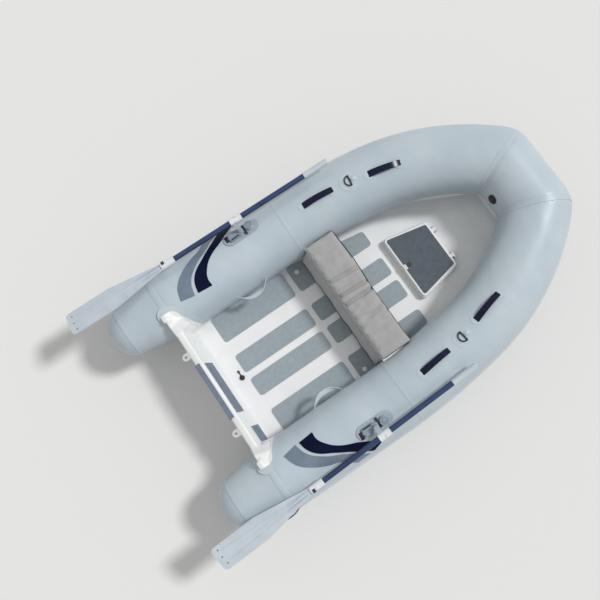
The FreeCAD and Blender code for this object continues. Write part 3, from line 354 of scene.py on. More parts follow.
nodeFinish = dict(
    tube="coatedFabric", hull="gelcoat", keel_guard="mouldedPad", deck_pads="deckFoam",
    rub_strake="seamTape", transom="gelcoat", transom_knee="gelcoat",
    transom_small_pad="mouldedPad", motor_pad="mouldedPad", tow_eyes="stainless",
    drain_plug="blackPlasticAndPaintedShade", deck_eyes="whiteNylon", locker_coaming="gelcoat",
    locker_hinges="stainless", locker_lid="gelcoat", locker_lid_pad="hatchFoam",
    locker_latch="stainless", seat_cushion="canvas", seat_board="whiteNylon", seat_bag="canvas",
    seat_bracket="whiteNylon", grab_handles="navyRubber", d_ring="stainless",
    lifting_strap="webbing", air_valve="blackPlasticAndPaintedShade", bow_eye="stainless", rowlock="greyNylon",
    oar_swivel="greyNylon", oar_clamp="whiteNylon", oar_shaft="anodisedBlue",
    oar_grip="bladePlastic", oar_collar="whiteNylon", oar_blade="bladePlastic",
)
for node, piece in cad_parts.items():
    best = max((key for key in nodeFinish if node.startswith(key)), key=len)
    piece.data.materials.clear()
    piece.data.materials.append(finishes[nodeFinish[best]])
print("frame dressed:", len(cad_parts), "nodes")

# Modelling steps
weldGap = 1e-5
waveTurn = 6.283  # a whole wave in radians, rounded


def only(piece):
    if bpy.context.mode != "OBJECT":
        bpy.ops.object.mode_set(mode="OBJECT")
    bpy.ops.object.select_all(action="DESELECT")
    piece.select_set(True)
    bpy.context.view_layer.objects.active = piece


def pick(piece, kind, test):
    # edit mode with the corners, edges or faces selected that pass the test
    only(piece)
    mesh = piece.data
    for group in (mesh.vertices, mesh.edges, mesh.polygons):
        group.foreach_set("select", [False] * len(group))
    if kind == "VERT":
        mesh.vertices.foreach_set("select", [bool(test(v.co)) for v in mesh.vertices])
    elif kind == "EDGE":
        ends = [[mesh.vertices[i].co for i in e.vertices] for e in mesh.edges]
        picked = [bool(test((a + b) / 2, (b - a).normalized())) for a, b in ends]
        mesh.edges.foreach_set("select", picked)
    else:
        picked = [bool(test(f.center, f.normal)) for f in mesh.polygons]
        mesh.polygons.foreach_set("select", picked)
    bpy.context.tool_settings.mesh_select_mode = (kind == "VERT", kind == "EDGE", kind == "FACE")
    bpy.ops.object.mode_set(mode="EDIT")


def leaveEdit():
    bpy.ops.object.mode_set(mode="OBJECT")


def everything(middle, way=None):
    return True


def upward(middle, way):
    return way.z > 0.9


def push(height):
    bpy.ops.mesh.extrude_region_move(TRANSFORM_OT_translate={"value": (0, 0, height)})


def stepTop(piece, *steps):
    # insets the top face and then raises or sinks it, once for each pair of inset and height
    pick(piece, "FACE", upward)
    for inset, height in steps:
        bpy.ops.mesh.inset(thickness=inset)
        push(height)
    leaveEdit()


def addObject(name, data):
    piece = bpy.data.objects.new(name, data)
    bpy.context.scene.collection.objects.link(piece)
    return piece


def join(piece, *others):
    only(piece)
    for other in others:
        other.select_set(True)
    bpy.ops.object.join()


def modify(piece, kind, **settings):
    only(piece)
    step = piece.modifiers.new(kind.lower(), kind)
    for name, value in settings.items():
        setattr(step, name, value)
    bpy.ops.object.modifier_apply(modifier=step.name)


def reskin(piece, voxel, smoothing):
    modify(piece, "REMESH", mode="VOXEL", voxel_size=voxel)
    modify(piece, "SMOOTH", factor=0.5, iterations=smoothing)


def soften(piece):
    modify(piece, "SUBSURF", levels=1, render_levels=1)


def settle(piece):
    # place into the mesh
    only(piece)
    bpy.ops.object.transform_apply(location=True, rotation=True, scale=True)


def tidy(piece, gap=weldGap):
    pick(piece, "VERT", everything)
    bpy.ops.mesh.remove_doubles(threshold=gap)
    bpy.ops.mesh.normals_make_consistent(inside=False)
    leaveEdit()


def finish(piece, name, look, body="boat", angle=35):
    settle(piece)
    piece.name = piece.data.name = name
    bpy.ops.object.shade_smooth_by_angle(angle=math.radians(angle))
    piece.data.materials.clear()
    piece.data.materials.append(finishes[look])
    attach(piece, body)
    return piece


def pair(piece, name, look, place=Matrix(), body="boat", angle=35):
    # sets a piece at its place on the port side and copies it to starboard
    settle(piece)
    piece.data.transform(place)
    port, starboard = ("port_oar", "starboard_oar") if body == "oar" else (body, body)
    finish(piece, name + "_port", look, port, angle)
    twin = addObject(name + "_starboard", piece.data.copy())
    twin.data.transform(Matrix.Scale(-1, 4, (0, 1, 0)))
    twin.data.flip_normals()
    return piece, finish(twin, name + "_starboard", look, starboard, angle)


def copyNode(node, name):
    piece = addObject(name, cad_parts[node].data.copy())
    only(piece)
    bpy.ops.mesh.customdata_custom_splitnormals_clear()
    pick(piece, "VERT", everything)
    bpy.ops.mesh.remove_doubles(threshold=weldGap)
    leaveEdit()
    return piece


def around(roll):
    # distance round the skin that a roll in degrees makes
    return math.radians(roll) * tube["radius"]


def onTube(station, side):
    # flat place of a point seen from above on the straight run of the tube
    turn = math.asin((side - tube["offset"]) / tube["radius"])
    return station - tube["start"], tube["radius"] * turn


def wrapOnTube(piece):
    # bends a flat piece onto the port tube: x along it, y outboard along the skin, z out of it
    for v in piece.data.vertices:
        v.co = alongTube(v.co.x, math.degrees(v.co.y / tube["radius"]), v.co.z).translation


# Flat pieces glued to the tubes are cut into narrow strips, so that they bend
sheet = dict(strip=0.014, roundness=8, discPoints=16, discTurn=6.28318)


def skinPiece(name, outline, thickness, lift, look="seamTape"):
    # sheet with a drawn outline, some of its corners sharp, laid on both tubes
    drawn = bpy.data.curves.new(name, "CURVE")
    drawn.dimensions = "2D"
    drawn.fill_mode = "BOTH"
    drawn.resolution_u = sheet["roundness"]
    drawn.extrude = thickness / 2
    spline = drawn.splines.new("BEZIER")
    spline.bezier_points.add(len(outline) - 1)
    spline.use_cyclic_u = True
    for point, (x, y, corner) in zip(spline.bezier_points, outline):
        point.co = (x, y, thickness / 2)
        handle = "VECTOR" if corner == "sharp" else "AUTO"
        point.handle_left_type = point.handle_right_type = handle
    only(addObject(name, drawn))
    bpy.ops.object.convert(target="MESH")
    piece = bpy.context.object
    tidy(piece)
    pick(piece, "FACE", everything)
    for axis, way in ((0, (1, 0, 0)), (1, (0, 1, 0))):
        low, high = min(p[axis] for p in outline), max(p[axis] for p in outline)
        for cut in range(1, int((high - low) / sheet["strip"]) + 1):
            bpy.ops.mesh.select_all(action="SELECT")
            place = [(low + cut * sheet["strip"]) * c for c in way]
            bpy.ops.mesh.bisect(plane_co=place, plane_no=way)
    leaveEdit()
    piece.data.transform(Matrix.Translation((0, 0, lift)))
    wrapOnTube(piece)
    pair(piece, name, look, angle=40)


def roundPatch(name, x, y, radius, thickness, lift):
    turns = [sheet["discTurn"] * i / sheet["discPoints"] for i in range(sheet["discPoints"])]
    outline = [(x + radius * math.cos(a), y + radius * math.sin(a), "round") for a in turns]
    skinPiece(name, outline, thickness, lift)


def roundLine(name, points, radius):
    # round cord or rod through a few points, made a mesh
    drawn = bpy.data.curves.new(name, "CURVE")
    drawn.dimensions = "3D"
    drawn.bevel_depth = radius
    drawn.bevel_resolution = 3
    drawn.use_fill_caps = True
    spline = drawn.splines.new("BEZIER")
    spline.bezier_points.add(len(points) - 1)
    for point, place in zip(spline.bezier_points, points):
        point.co = place
        point.handle_left_type = point.handle_right_type = "AUTO"
    only(addObject(name, drawn))
    bpy.ops.object.convert(target="MESH")
    piece = bpy.context.object
    tidy(piece)
    return piece


# Air tubes: blown up cloth, a little fuller all over, with faint ripples
tubeCloth = dict(
    voxel=0.012, smoothing=10, fill=0.95, fatten=0.0009,
    # ripples: height, length along the tube, how they wander, and how they fade in patches
    ripple=0.0004, rippleLength=0.11, wander=3, wanderAcross=9, wanderUp=14, fadeUp=23,
    fadeAcross=7,
)


def inflate(node):
    skin = copyNode(node, node + "_skin")
    reskin(skin, tubeCloth["voxel"], tubeCloth["smoothing"])
    for v, normal in [(v, v.normal.copy()) for v in skin.data.vertices]:
        wave = math.sin(v.co.x * waveTurn / tubeCloth["rippleLength"]
                        + tubeCloth["wander"] * math.sin(v.co.y * tubeCloth["wanderAcross"])
                        + v.co.z * tubeCloth["wanderUp"])
        fade = math.sin(v.co.z * tubeCloth["fadeUp"] + v.co.y * tubeCloth["fadeAcross"])
        v.co += normal * (tubeCloth["fatten"] + tubeCloth["ripple"] * wave * fade)
    finish(skin, node + "_skin", "coatedFabric", angle=60)
    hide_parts(node)


for node in ("tube_port", "tube_starboard", "tube_bow", "tube_end_port", "tube_end_starboard"):
    inflate(node)

# Transom and its knees: one glass moulding, so their corners run together
moulding = dict(
    nodes=("transom", "transom_knee_port", "transom_knee_starboard"),
    voxel=0.005, smoothing=14, fatten=0.0006,
)


def transomMoulding():
    board, *knees = [copyNode(node, "transom_moulding") for node in moulding["nodes"]]
    join(board, *knees)
    reskin(board, moulding["voxel"], moulding["smoothing"])
    modify(board, "DISPLACE", strength=moulding["fatten"], mid_level=0)
    finish(board, "transom_moulding", "gelcoat", angle=60)
    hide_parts(*moulding["nodes"])


transomMoulding()

# Tapes glued over the joints of the tubes
tapes = dict(
    thickness=0.0024, lift=0.0016, edge=0.0004, endSlope=0.187,
    # name, distance along the tube, width
    rings=(("joint_tape", 0, 0.044), ("panel_tape", 0.940, 0.020)),
    # name, station, radius aft, radius forward, width
    cap=("cap_tape", 0.1260, 0.1670, 0.1722, 0.028), capOffset=0.2,
    mitreWidth=0.036, mitreTurn=43.47, mitreWeld=0.0006,
)


def ringTape(name, distance, width):
    bpy.ops.mesh.primitive_grid_add(x_subdivisions=4, y_subdivisions=120, size=1,
                                    location=(distance, 0, tapes["lift"]))
    tape = bpy.context.object
    tape.scale = (width, around(360), 1)
    settle(tape)
    # aft of the joint it follows the tapered end
    for v in tape.data.vertices:
        v.co.z += tapes["endSlope"] * min(v.co.x, 0)
    wrapOnTube(tape)
    tidy(tape)
    modify(tape, "SOLIDIFY", thickness=tapes["thickness"], offset=-1)
    modify(tape, "BEVEL", width=tapes["edge"], segments=2)
    pair(tape, name, "coatedFabric")


def capTape(name, station, aft, fore, width):
    place = (ahead(station), tube["offset"], tube["height"])
    bpy.ops.mesh.primitive_cone_add(vertices=96, radius1=aft, radius2=fore, depth=width,
                                    end_fill_type="NOTHING", location=place,
                                    rotation=(0, math.pi / 2, 0))
    tape = bpy.context.object
    settle(tape)
    pick(tape, "FACE", everything)
    bpy.ops.mesh.subdivide(number_cuts=2)
    tidy(tape)
    modify(tape, "SOLIDIFY", thickness=tapes["thickness"], offset=tapes["capOffset"])
    pair(tape, name, "coatedFabric")


def mitreTape():
    # band cut from both tubes at the bow joint
    corner = alongTube(tube["pastEnd"], 0, -tube["radius"])
    lean = math.radians(90 - tapes["mitreTurn"]) / 2
    normal = corner.to_3x3() @ Vector((math.cos(lean), -math.sin(lean), 0))
    band = copyNode("tube_port", "mitre_tape_port")
    join(band, copyNode("tube_bow", "bow_band"))
    # the tubes' closed ends go, then all that lies outside the band
    pick(band, "FACE", lambda middle, way: abs(way.dot(normal)) > 0.995)
    bpy.ops.mesh.delete(type="FACE")
    for way in (1, -1):
        bpy.ops.mesh.select_all(action="SELECT")
        place = corner.translation + normal * way * tapes["mitreWidth"] / 2
        bpy.ops.mesh.bisect(plane_co=place, plane_no=normal, clear_outer=way > 0,
                            clear_inner=way < 0)
    leaveEdit()
    pick(band, "FACE", lambda middle, way: middle.y < 0)
    bpy.ops.mesh.delete(type="FACE")
    tidy(band, tapes["mitreWeld"])
    modify(band, "DISPLACE", strength=tapes["lift"], mid_level=0)
    modify(band, "SOLIDIFY", thickness=tapes["thickness"], offset=-1)
    pair(band, "mitre_tape", "coatedFabric", angle=50)


for row in tapes["rings"]:
    ringTape(*row)
capTape(*tapes["cap"])
mitreTape()
print("tubes and tapes ready")

# Flashes: two vinyl crescents on each tube, by station and distance from the centreline
flashes = dict(
    thickness=0.0012, lift=0.0014,
    navy=((0.632, 0.556, "sharp"), (0.732, 0.548, "sharp"), (0.733, 0.598, "round"),
          (0.765, 0.652, "round"), (0.823, 0.704, "round"), (0.937, 0.757, "round"),
          (1.065, 0.824, "sharp"), (0.985, 0.8455, "sharp"), (0.881, 0.786, "round"),
          (0.775, 0.724, "round"), (0.686, 0.668, "round"), (0.648, 0.616, "round")),
    grey=((0.512, 0.571, "sharp"), (0.606, 0.554, "sharp"), (0.634, 0.634, "round"),
          (0.712, 0.706, "round"), (0.835, 0.772, "round"), (0.955, 0.8465, "sharp"),
          (0.862, 0.8485, "sharp"), (0.775, 0.789, "round"), (0.717, 0.770, "round"),
          (0.618, 0.721, "round"), (0.545, 0.654, "round")),
)
for shade, look, slot in (("navy", "navyPrint", "navy_plastic"),
                          ("grey", "greyPrint", "blue_grey_pad")):
    outline = [onTube(station, side) + (corner,) for station, side, corner in flashes[shade]]
    skinPiece("flash_" + shade, outline, flashes["thickness"], flashes["lift"], look)
print("flashes ready")

# Corner fairings run out over the tubes in a white lip; a fabric strip is glued along it
# x along the tube from its straight run, y outboard along the skin
corners = dict(
    strip=((-0.012, -0.062, "round"), (0.043, -0.064, "round"), (0.083, -0.113, "round"),
           (0.119, -0.174, "round"), (0.151, -0.257, "round"), (0.176, -0.344, "round"),
           (0.184, -0.430, "sharp"), (0.120, -0.430, "sharp"), (0.100, -0.300, "round"),
           (0.070, -0.190, "round"), (0.030, -0.110, "round"), (-0.014, -0.100, "round")),
    stripThickness=0.0012, stripLift=0.0012,
    lip=((-0.006, -0.086, "sharp"), (0.036, -0.096, "round"), (0.073, -0.164, "round"),
         (0.103, -0.230, "round"), (0.132, -0.315, "round"), (0.150, -0.420, "sharp"),
         (0.020, -0.420, "sharp"), (-0.004, -0.250, "round")),
    lipThickness=0.0016, lipLift=0.0022,
    # two round patches, one on the other
    patchMiddle=(-0.012, -0.094), patchRadii=(0.050, 0.036), patchThickness=0.001,
    patchLift=0.0006, patchStep=0.0005,
)
skinPiece("corner_strip", corners["strip"], corners["stripThickness"], corners["stripLift"])
skinPiece("corner_lip", corners["lip"], corners["lipThickness"], corners["lipLift"],
          "gelcoat")
for number, radius in enumerate(corners["patchRadii"]):
    roundPatch("corner_patch_%d" % number, *corners["patchMiddle"], radius,
               corners["patchThickness"], corners["patchLift"] + corners["patchStep"] * number)

# Padded pieces: cloth under a little pressure, on a shape that starts slightly small
padding = dict(shrink=0.004, smoothing=3, quality=5, pressure=4.0, frames=20, cap=0.0065)


def paddedBlock(low, high, widen=1.0):
    bpy.ops.mesh.primitive_cube_add(size=1, location=(low + high) / 2)
    piece = bpy.context.object
    piece.scale = [side - 2 * padding["shrink"] for side in high - low]
    piece.scale.y *= widen
    settle(piece)
    return piece


def blowUp(piece, voxel):
    reskin(piece, voxel, padding["smoothing"])
    before = [v.co.copy() for v in piece.data.vertices]
    only(piece)
    cloth = piece.modifiers.new("cloth", "CLOTH")
    cloth.settings.quality = padding["quality"]
    cloth.settings.use_pressure = True
    cloth.settings.uniform_pressure_force = padding["pressure"]
    cloth.settings.effector_weights.gravity = 0
    cloth.point_cache.frame_start = 1
    cloth.point_cache.frame_end = padding["frames"]
    for step in range(1, padding["frames"] + 1):
        bpy.context.scene.frame_set(step)
    bpy.ops.object.modifier_apply(modifier=cloth.name)
    for v, old in zip(piece.data.vertices, before):
        move = v.co - old
        if move.length > padding["cap"]:
            v.co = old + move.normalized() * padding["cap"]
    bpy.context.scene.frame_set(1)
    soften(piece)


def share(value):
    return min(max(value, 0), 1)


# Seat: one sewn cover over the board
seat = dict(
    edge=0.012, voxel=0.0055, fill=0.7,
    # furrows: side at the aft edge, side at the forward edge, depth, width
    furrows=((0.157, 0.138, 0.0135, 0.013), (0.045, 0.036, 0.0170, 0.012),
             (-0.019, -0.024, 0.0170, 0.012), (0.300, 0.235, 0.0055, 0.022),
             (0.235, 0.200, 0.0030, 0.018), (-0.075, -0.010, 0.0045, 0.014),
             (-0.120, -0.190, 0.0080, 0.018), (-0.190, -0.120, 0.0060, 0.020),
             (0.095, 0.085, 0.0020, 0.012), (-0.260, -0.240, 0.0040, 0.018),
             (-0.330, -0.350, 0.0040, 0.024)),
    # beside each furrow the cloth swells: share of the depth, and how many widths away
    swell=0.45, swellAway=1.7,
    # the aft edge waves and is drawn in at the furrows, less and less going forward
    # height, length and phase of each wave
    edgeWaves=((0.004, 0.052, 0.4), (0.0025, 0.021, 1.7)), edgeShare=0.6, edgePull=1.1, edgeFade=5,
    # ripples all over
    ripple=0.0012, rippleAcross=31, wander=2.2, wanderAlong=40,
)


def furrowDepth(side, part):
    depthHere = 0
    for aftSide, foreSide, depth, width in seat["furrows"]:
        away = side - (aftSide + (foreSide - aftSide) * part)
        fold = math.exp(-(away / width) ** 2)
        beside = math.exp(-((abs(away) - seat["swellAway"] * width) / width) ** 2)
        depthHere += depth * (fold - seat["swell"] * beside)
    return depthHere


def seatCushion():
    low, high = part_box("seat_cushion")
    size = high - low
    piece = paddedBlock(low, high)
    # rounded sewn edges
    pick(piece, "EDGE", everything)
    bpy.ops.mesh.bevel(offset=seat["edge"], segments=3, profile=0.6)
    leaveEdit()
    blowUp(piece, seat["voxel"])
    for v in piece.data.vertices:
        part, top = share((v.co.x - low.x) / size.x), share((v.co.z - low.z) / size.z)
        dent = furrowDepth(v.co.y, part)
        v.co.z -= dent * top
        wave = sum(rise * math.sin(v.co.y / length * waveTurn + phase)
                   for rise, length, phase in seat["edgeWaves"])
        aftness = max(0.0, 1 - part * seat["edgeFade"])
        v.co.x += aftness * (dent * seat["edgePull"] + wave * seat["edgeShare"])
        bend = seat["wander"] * math.sin(v.co.x * seat["wanderAlong"])
        v.co.z += seat["ripple"] * math.sin(v.co.y * seat["rippleAcross"] + bend) * top
    finish(piece, "seat_cover", "canvas", angle=60)
    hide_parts("seat_cushion")
    return piece


# Bag that hangs below the seat
bag = dict(
    edge=0.014, voxel=0.0085, fill=0.5, widen=1.05, skirtDrop=0.022, topInset=0.002, boardGap=0.003,
    near=0.02,
    # waves of the aft side, some of them fine ones, all flatter at the top
    wave=0.0018, waveAcross=24, wander=1.3, wanderUp=40,
    fine=0.6, fineAcross=61, fineUp=30, atTop=0.4,
)


def seatBag():
    low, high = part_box("seat_bag")
    size = high - low
    aftEdge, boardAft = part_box("seat_cushion")[0].x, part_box("seat_board")[0].x
    piece = paddedBlock(low, high, bag["widen"])
    # the top narrows to the board, and its aft strip runs up to the cushion
    pick(piece, "VERT", lambda co: co.z > high.z - bag["near"] and co.x < low.x + bag["near"])
    bpy.ops.transform.translate(value=(aftEdge - low.x + bag["topInset"], 0, 0))
    leaveEdit()
    pick(piece, "FACE", everything)
    bpy.ops.mesh.bisect(plane_co=(boardAft - bag["boardGap"], 0, 0), plane_no=(1, 0, 0))
    leaveEdit()
    pick(piece, "FACE", lambda middle, way: way.z > 0.9 and middle.x < boardAft)
    push(bag["skirtDrop"])
    leaveEdit()
    pick(piece, "EDGE", lambda middle, way: abs(way.y) > 0.9 and middle.z < low.z + bag["near"])
    bpy.ops.mesh.bevel(offset=bag["edge"], segments=3)
    leaveEdit()
    blowUp(piece, bag["voxel"])
    for v in piece.data.vertices:
        drop = share((high.z - v.co.z) / size.z)
        bend = bag["wander"] * math.sin(v.co.z * bag["wanderUp"])
        wave = math.sin(v.co.y * bag["waveAcross"] + bend)
        wave += bag["fine"] * math.sin(v.co.y * bag["fineAcross"] + v.co.z * bag["fineUp"])
        if v.co.x < 0:
            v.co.x += bag["wave"] * wave * (bag["atTop"] + drop)
    finish(piece, "seat_bag_cloth", "canvas", angle=60)
    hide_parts("seat_bag")
    return piece


# Piping: black cord along the cover's ends and fore edge, and round the bag's lower aft edge
piping = dict(radius=0.0032, bagRadius=0.00448, proud=0.004, endDrop=0.010, foreDrop=0.012,
              bagProud=0.006, bagRise=0.012, loose=0.011)


def between(low, high, count):
    return [low + (high - low) * i / count for i in range(count + 1)]


def snapTo(piece, points):
    # lays points on a piece's surface
    return [piece.closest_point_on_mesh(Vector(point))[1] for point in points]


def seatPiping(cover, pouch):
    low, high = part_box("seat_cushion")
    lines = []
    for side, name in ((1, "port"), (-1, "starboard")):
        edge = [(x, side * (high.y + piping["proud"]), high.z - piping["endDrop"])
                for x in between(low.x, high.x, 8)]
        lines.append(("seat_end_piping_" + name, snapTo(cover, edge), piping["radius"]))
    edge = [(high.x + piping["proud"], y, high.z - piping["foreDrop"])
            for y in between(low.y, high.y, 30)]
    # the port half of the fore edge hangs loose of the cover
    loose = [point + Vector((piping["loose"] * math.sin(math.pi * share(point.y / high.y)), 0, 0))
             for point in snapTo(cover, edge)]
    lines.append(("seat_fore_piping", loose, piping["radius"]))
    low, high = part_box("seat_bag")
    proud = piping["bagProud"]
    edge = [(low.x - proud, y, low.z + piping["bagRise"])
            for y in between(low.y + proud, high.y - proud, 30)]
    lines.append(("seat_bag_piping", snapTo(pouch, edge), piping["bagRadius"]))
    for name, points, radius in lines:
        finish(roundLine(name, points, radius), name, "pipingCord", angle=60)


seatPiping(seatCushion(), seatBag())
print("seat ready")

# Bands bowed off the skin between two flat feet
bands = dict(strips=28, bow=2.4, blunt=1.15, sink=0.4, edge=0.3)


def archBand(name, place, span, rise, width, thickness, twist=0, tip=1.0,
             look="webbing"):
    # twist in degrees at the middle, tip is the width of the forward end as a share
    bpy.ops.mesh.primitive_grid_add(x_subdivisions=bands["strips"], y_subdivisions=2, size=1)
    band = bpy.context.object
    band.scale = (span, width, 1)
    settle(band)
    for v in band.data.vertices:
        part = v.co.x / (span / 2)
        lift = rise * (1 - abs(part) ** bands["bow"]) ** bands["blunt"] if abs(part) < 1 else 0
        turn = math.radians(twist) * (1 - part * part)
        side = v.co.y * (1 + (tip - 1) * (part + 1) / 2)
        height = lift + side * math.sin(turn) + thickness * bands["sink"]
        v.co = Vector((v.co.x, side * math.cos(turn), height))
    modify(band, "SOLIDIFY", thickness=thickness, offset=0)
    modify(band, "BEVEL", width=thickness * bands["edge"], segments=2)
    soften(band)
    tidy(band)
    return pair(band, name, look, place, angle=50)


# Fittings on the tubes, by distance along the tube and roll
fittings = dict(
    ringPath=1.422, ringRoll=-2, ringDiscs=((0.062, 0.0012), (0.040, 0.0014)), ringStep=0.0012,
    handles=((1.203, -2), (1.657, -7)), handleLength=0.222, handleInset=0.010,
    handlePadRadius=0.034, handlePadThickness=0.0014,
    strapPath=0.533, strapRoll=-84, strapSpan=0.212, strapRise=0.050, strapWidth=0.034,
    strapThickness=0.004, strapTwist=62, strapPatchRadius=0.036, strapPatchThickness=0.0016,
    patchLift=0.0010,
    sternStation=0.335, sternRoll=84, sternRadius=0.208, sternSpan=0.205, sternRise=0.034,
    sternWidth=0.040, sternThickness=0.006, sternTip=0.9,
)


def tubeFittings():
    lift = fittings["patchLift"]
    for number, (radius, thickness) in enumerate(fittings["ringDiscs"]):
        roundPatch("ring_patch_%d" % number, fittings["ringPath"], around(fittings["ringRoll"]),
                   radius, thickness, lift + fittings["ringStep"] * number)
    for number, (path, roll) in enumerate(fittings["handles"]):
        for end, letter in ((1, "f"), (-1, "a")):
            middle = path + end * (fittings["handleLength"] / 2 - fittings["handleInset"])
            roundPatch("handle_pad_%d%s" % (number, letter), middle, around(roll),
                       fittings["handlePadRadius"], fittings["handlePadThickness"], lift)
    place = alongTube(fittings["strapPath"], fittings["strapRoll"])
    port, starboard = archBand("lifting_band", place, fittings["strapSpan"], fittings["strapRise"],
                               fittings["strapWidth"], fittings["strapThickness"],
                               fittings["strapTwist"])
    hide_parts("lifting_strap_port")
    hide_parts("lifting_strap_starboard")
    for number, end in enumerate((1, -1)):
        foot = fittings["strapPath"] + end * fittings["strapSpan"] / 2
        roundPatch("strap_patch_%d" % number, foot, around(fittings["strapRoll"]),
                   fittings["strapPatchRadius"],
                   fittings["strapPatchThickness"], lift)
    stern = alongTube(fittings["sternStation"] - tube["start"], fittings["sternRoll"],
                      fittings["sternRadius"] - tube["radius"])
    archBand("stern_handle", stern, fittings["sternSpan"], fittings["sternRise"],
             fittings["sternWidth"], fittings["sternThickness"], 0, fittings["sternTip"],
             "navyRubber")


tubeFittings()
print("tube fittings ready")

# Rowlocks: what the plain housings lack, on the pad's own place
rowlock = dict(
    path=0.665, roll=20.5, lean=3, oarOffset=0.062, oarHeight=0.064, toe=3.5,
    capPlace=(0.062, 0, 0.0315), capRadius=0.0275, capHeight=0.005, capEdge=0.0009,
    # inset and height of the cap's groove and button
    capSteps=((0.006, -0.0022), (0.007, 0.0030)),
    # place, size, edge; the block's top is a little smaller and sunk
    block=((-0.045, -0.005, 0.0195), (0.080, 0.050, 0.026), 0.005), blockSteps=((0.007, -0.002),),
    blockTaper=0.9,
    # painted shade as black blocks in the slot before the block, in its recess and in the gap aft of
    # it: name, place, size
    shadeBlocks=(("rowlock_slot_shade", (0.0275, -0.006, 0.0130), (0.013, 0.070, 0.012)),
           ("rowlock_recess_shade", (-0.046, -0.026, 0.0320), (0.058, 0.010, 0.003)),
           ("rowlock_gap_shadow", (-0.100, 0.010, 0.0105), (0.024, 0.050, 0.008))),
    shadeBlockEdge=0.0015,
)


def rowlockPlace():
    lean = Matrix.Rotation(math.radians(-rowlock["lean"]), 4, "Y")
    return alongTube(rowlock["path"], rowlock["roll"]) @ lean


def oarPlace():
    # oar axis abreast of the pin, X towards the grip
    toe = Matrix.Rotation(math.radians(-rowlock["toe"]), 4, "Z")
    aside = Matrix.Translation((0, rowlock["oarOffset"], rowlock["oarHeight"]))
    return rowlockPlace() @ toe @ aside


def bevelledBlock(place, size, edge, steps=(), taper=1.0):
    # block with rounded edges and, if asked, a smaller or sunk top
    bpy.ops.mesh.primitive_cube_add(size=1, location=place)
    piece = bpy.context.object
    piece.scale = size
    settle(piece)
    pick(piece, "FACE", upward)
    bpy.ops.transform.resize(value=(taper, taper, 1))
    leaveEdit()
    stepTop(piece, *steps)
    modify(piece, "BEVEL", width=edge, segments=3)
    return piece


def roundBlock(place, radius, height, vertices, *steps):
    # short cylinder with a stepped top
    bpy.ops.mesh.primitive_cylinder_add(vertices=vertices, radius=radius, depth=height,
                                        location=place)
    piece = bpy.context.object
    settle(piece)
    stepTop(piece, *steps)
    return piece


def rowlocks():
    place = rowlockPlace()
    cap = roundBlock(rowlock["capPlace"], rowlock["capRadius"], rowlock["capHeight"], 48,
                     *rowlock["capSteps"])
    modify(cap, "BEVEL", width=rowlock["capEdge"], segments=2)
    pair(cap, "rowlock_cap", "smokeNylon", place)
    block = bevelledBlock(*rowlock["block"], rowlock["blockSteps"], rowlock["blockTaper"])
    pair(block, "rowlock_block", "smokeNylon", place)
    # the black blocks are painted shade in the slot, the recess and the gap
    for name, middle, size in rowlock["shadeBlocks"]:
        slot = bevelledBlock(middle, size, rowlock["shadeBlockEdge"])
        pair(slot, name, "blackPlasticAndPaintedShade", place)


rowlocks()

# Oars: ridges and holes of the blade, each hole a black disc of painted shade, rims of the clamp,
# clip on the collar
oar = dict(
    # x and y of both ends; a ridge starts high, on the blade's neck
    ridges=((-0.565, 0.012, -1.150, 0.040), (-0.565, -0.012, -1.150, -0.040)), ridgeRadius=0.0032,
    bladeTop=0.0045, neckRise=0.006,
    holes=((-1.180, 0.046), (-1.184, -0.004), (-1.180, -0.054)), holeRadius=0.0042,
    holeHeight=0.002, holeStep=(0.0012, -0.0008),
    clampMiddle=0.015, clampLength=0.084, clampRadius=0.025, rimRadius=0.0028, rimInset=0.004,
    # name, look, slot, then place, size, edge and top
    blocks=(("clamp_lug", "whiteNylon", "white_plastic",
             ((0.030, 0.004, 0.0255), (0.026, 0.018, 0.010), 0.003, ((0.003, -0.001),))),
            ("collar_clip", "blackPlasticAndPaintedShade", "black_plastic",
             ((-0.516, 0.006, 0.0215), (0.020, 0.026, 0.006), 0.002)),
            ("collar_tab", "whiteNylon", "white_plastic",
             ((-0.492, 0.0, 0.0225), (0.014, 0.020, 0.006), 0.002))),
)


def oars():
    place = oarPlace()
    for number, (x0, y0, x1, y1) in enumerate(oar["ridges"]):
        rises = [oar["neckRise"] * (1 - i / 2) if i < 2 else 0 for i in range(7)]
        points = [(x, y, oar["bladeTop"] + rise)
                  for x, y, rise in zip(between(x0, x1, 6), between(y0, y1, 6), rises)]
        ridge = roundLine("blade_ridge", points, oar["ridgeRadius"])
        pair(ridge, "blade_ridge_%d" % number, "bladePlastic", place, "oar")
    for number, (x, y) in enumerate(oar["holes"]):
        # each hole is a sunk black disc: painted shade
        hole = roundBlock((x, y, oar["bladeTop"]), oar["holeRadius"], oar["holeHeight"], 20,
                          oar["holeStep"])
        pair(hole, "blade_hole_shade_%d" % number, "blackPlasticAndPaintedShade", place, "oar")
    for number, end in enumerate((1, -1)):
        x = oar["clampMiddle"] + end * (oar["clampLength"] / 2 - oar["rimInset"])
        bpy.ops.mesh.primitive_torus_add(
            major_segments=48, minor_segments=10, major_radius=oar["clampRadius"],
            minor_radius=oar["rimRadius"], location=(x, 0, 0), rotation=(0, math.pi / 2, 0))
        rim = bpy.context.object
        pair(rim, "clamp_rim_%d" % number, "whiteNylon", place, "oar")
    for name, look, slot, shape in oar["blocks"]:
        pair(bevelledBlock(*shape), name, look, place, "oar")


oars()
print("rowlocks and oars ready")

# D-rings: steel ring in dark grey, partly painted shade, under a short web on the round patch
dRing = dict(
    path=1.430, roll=-2, radius=0.033, wire=0.0042, lift=0.0075, barRadius=0.00483, barOver=0.001,
    webShift=0.024, webLift=0.002, webSpan=0.040, webRise=0.0065, webWidth=0.022,
    webThickness=0.0016,
)


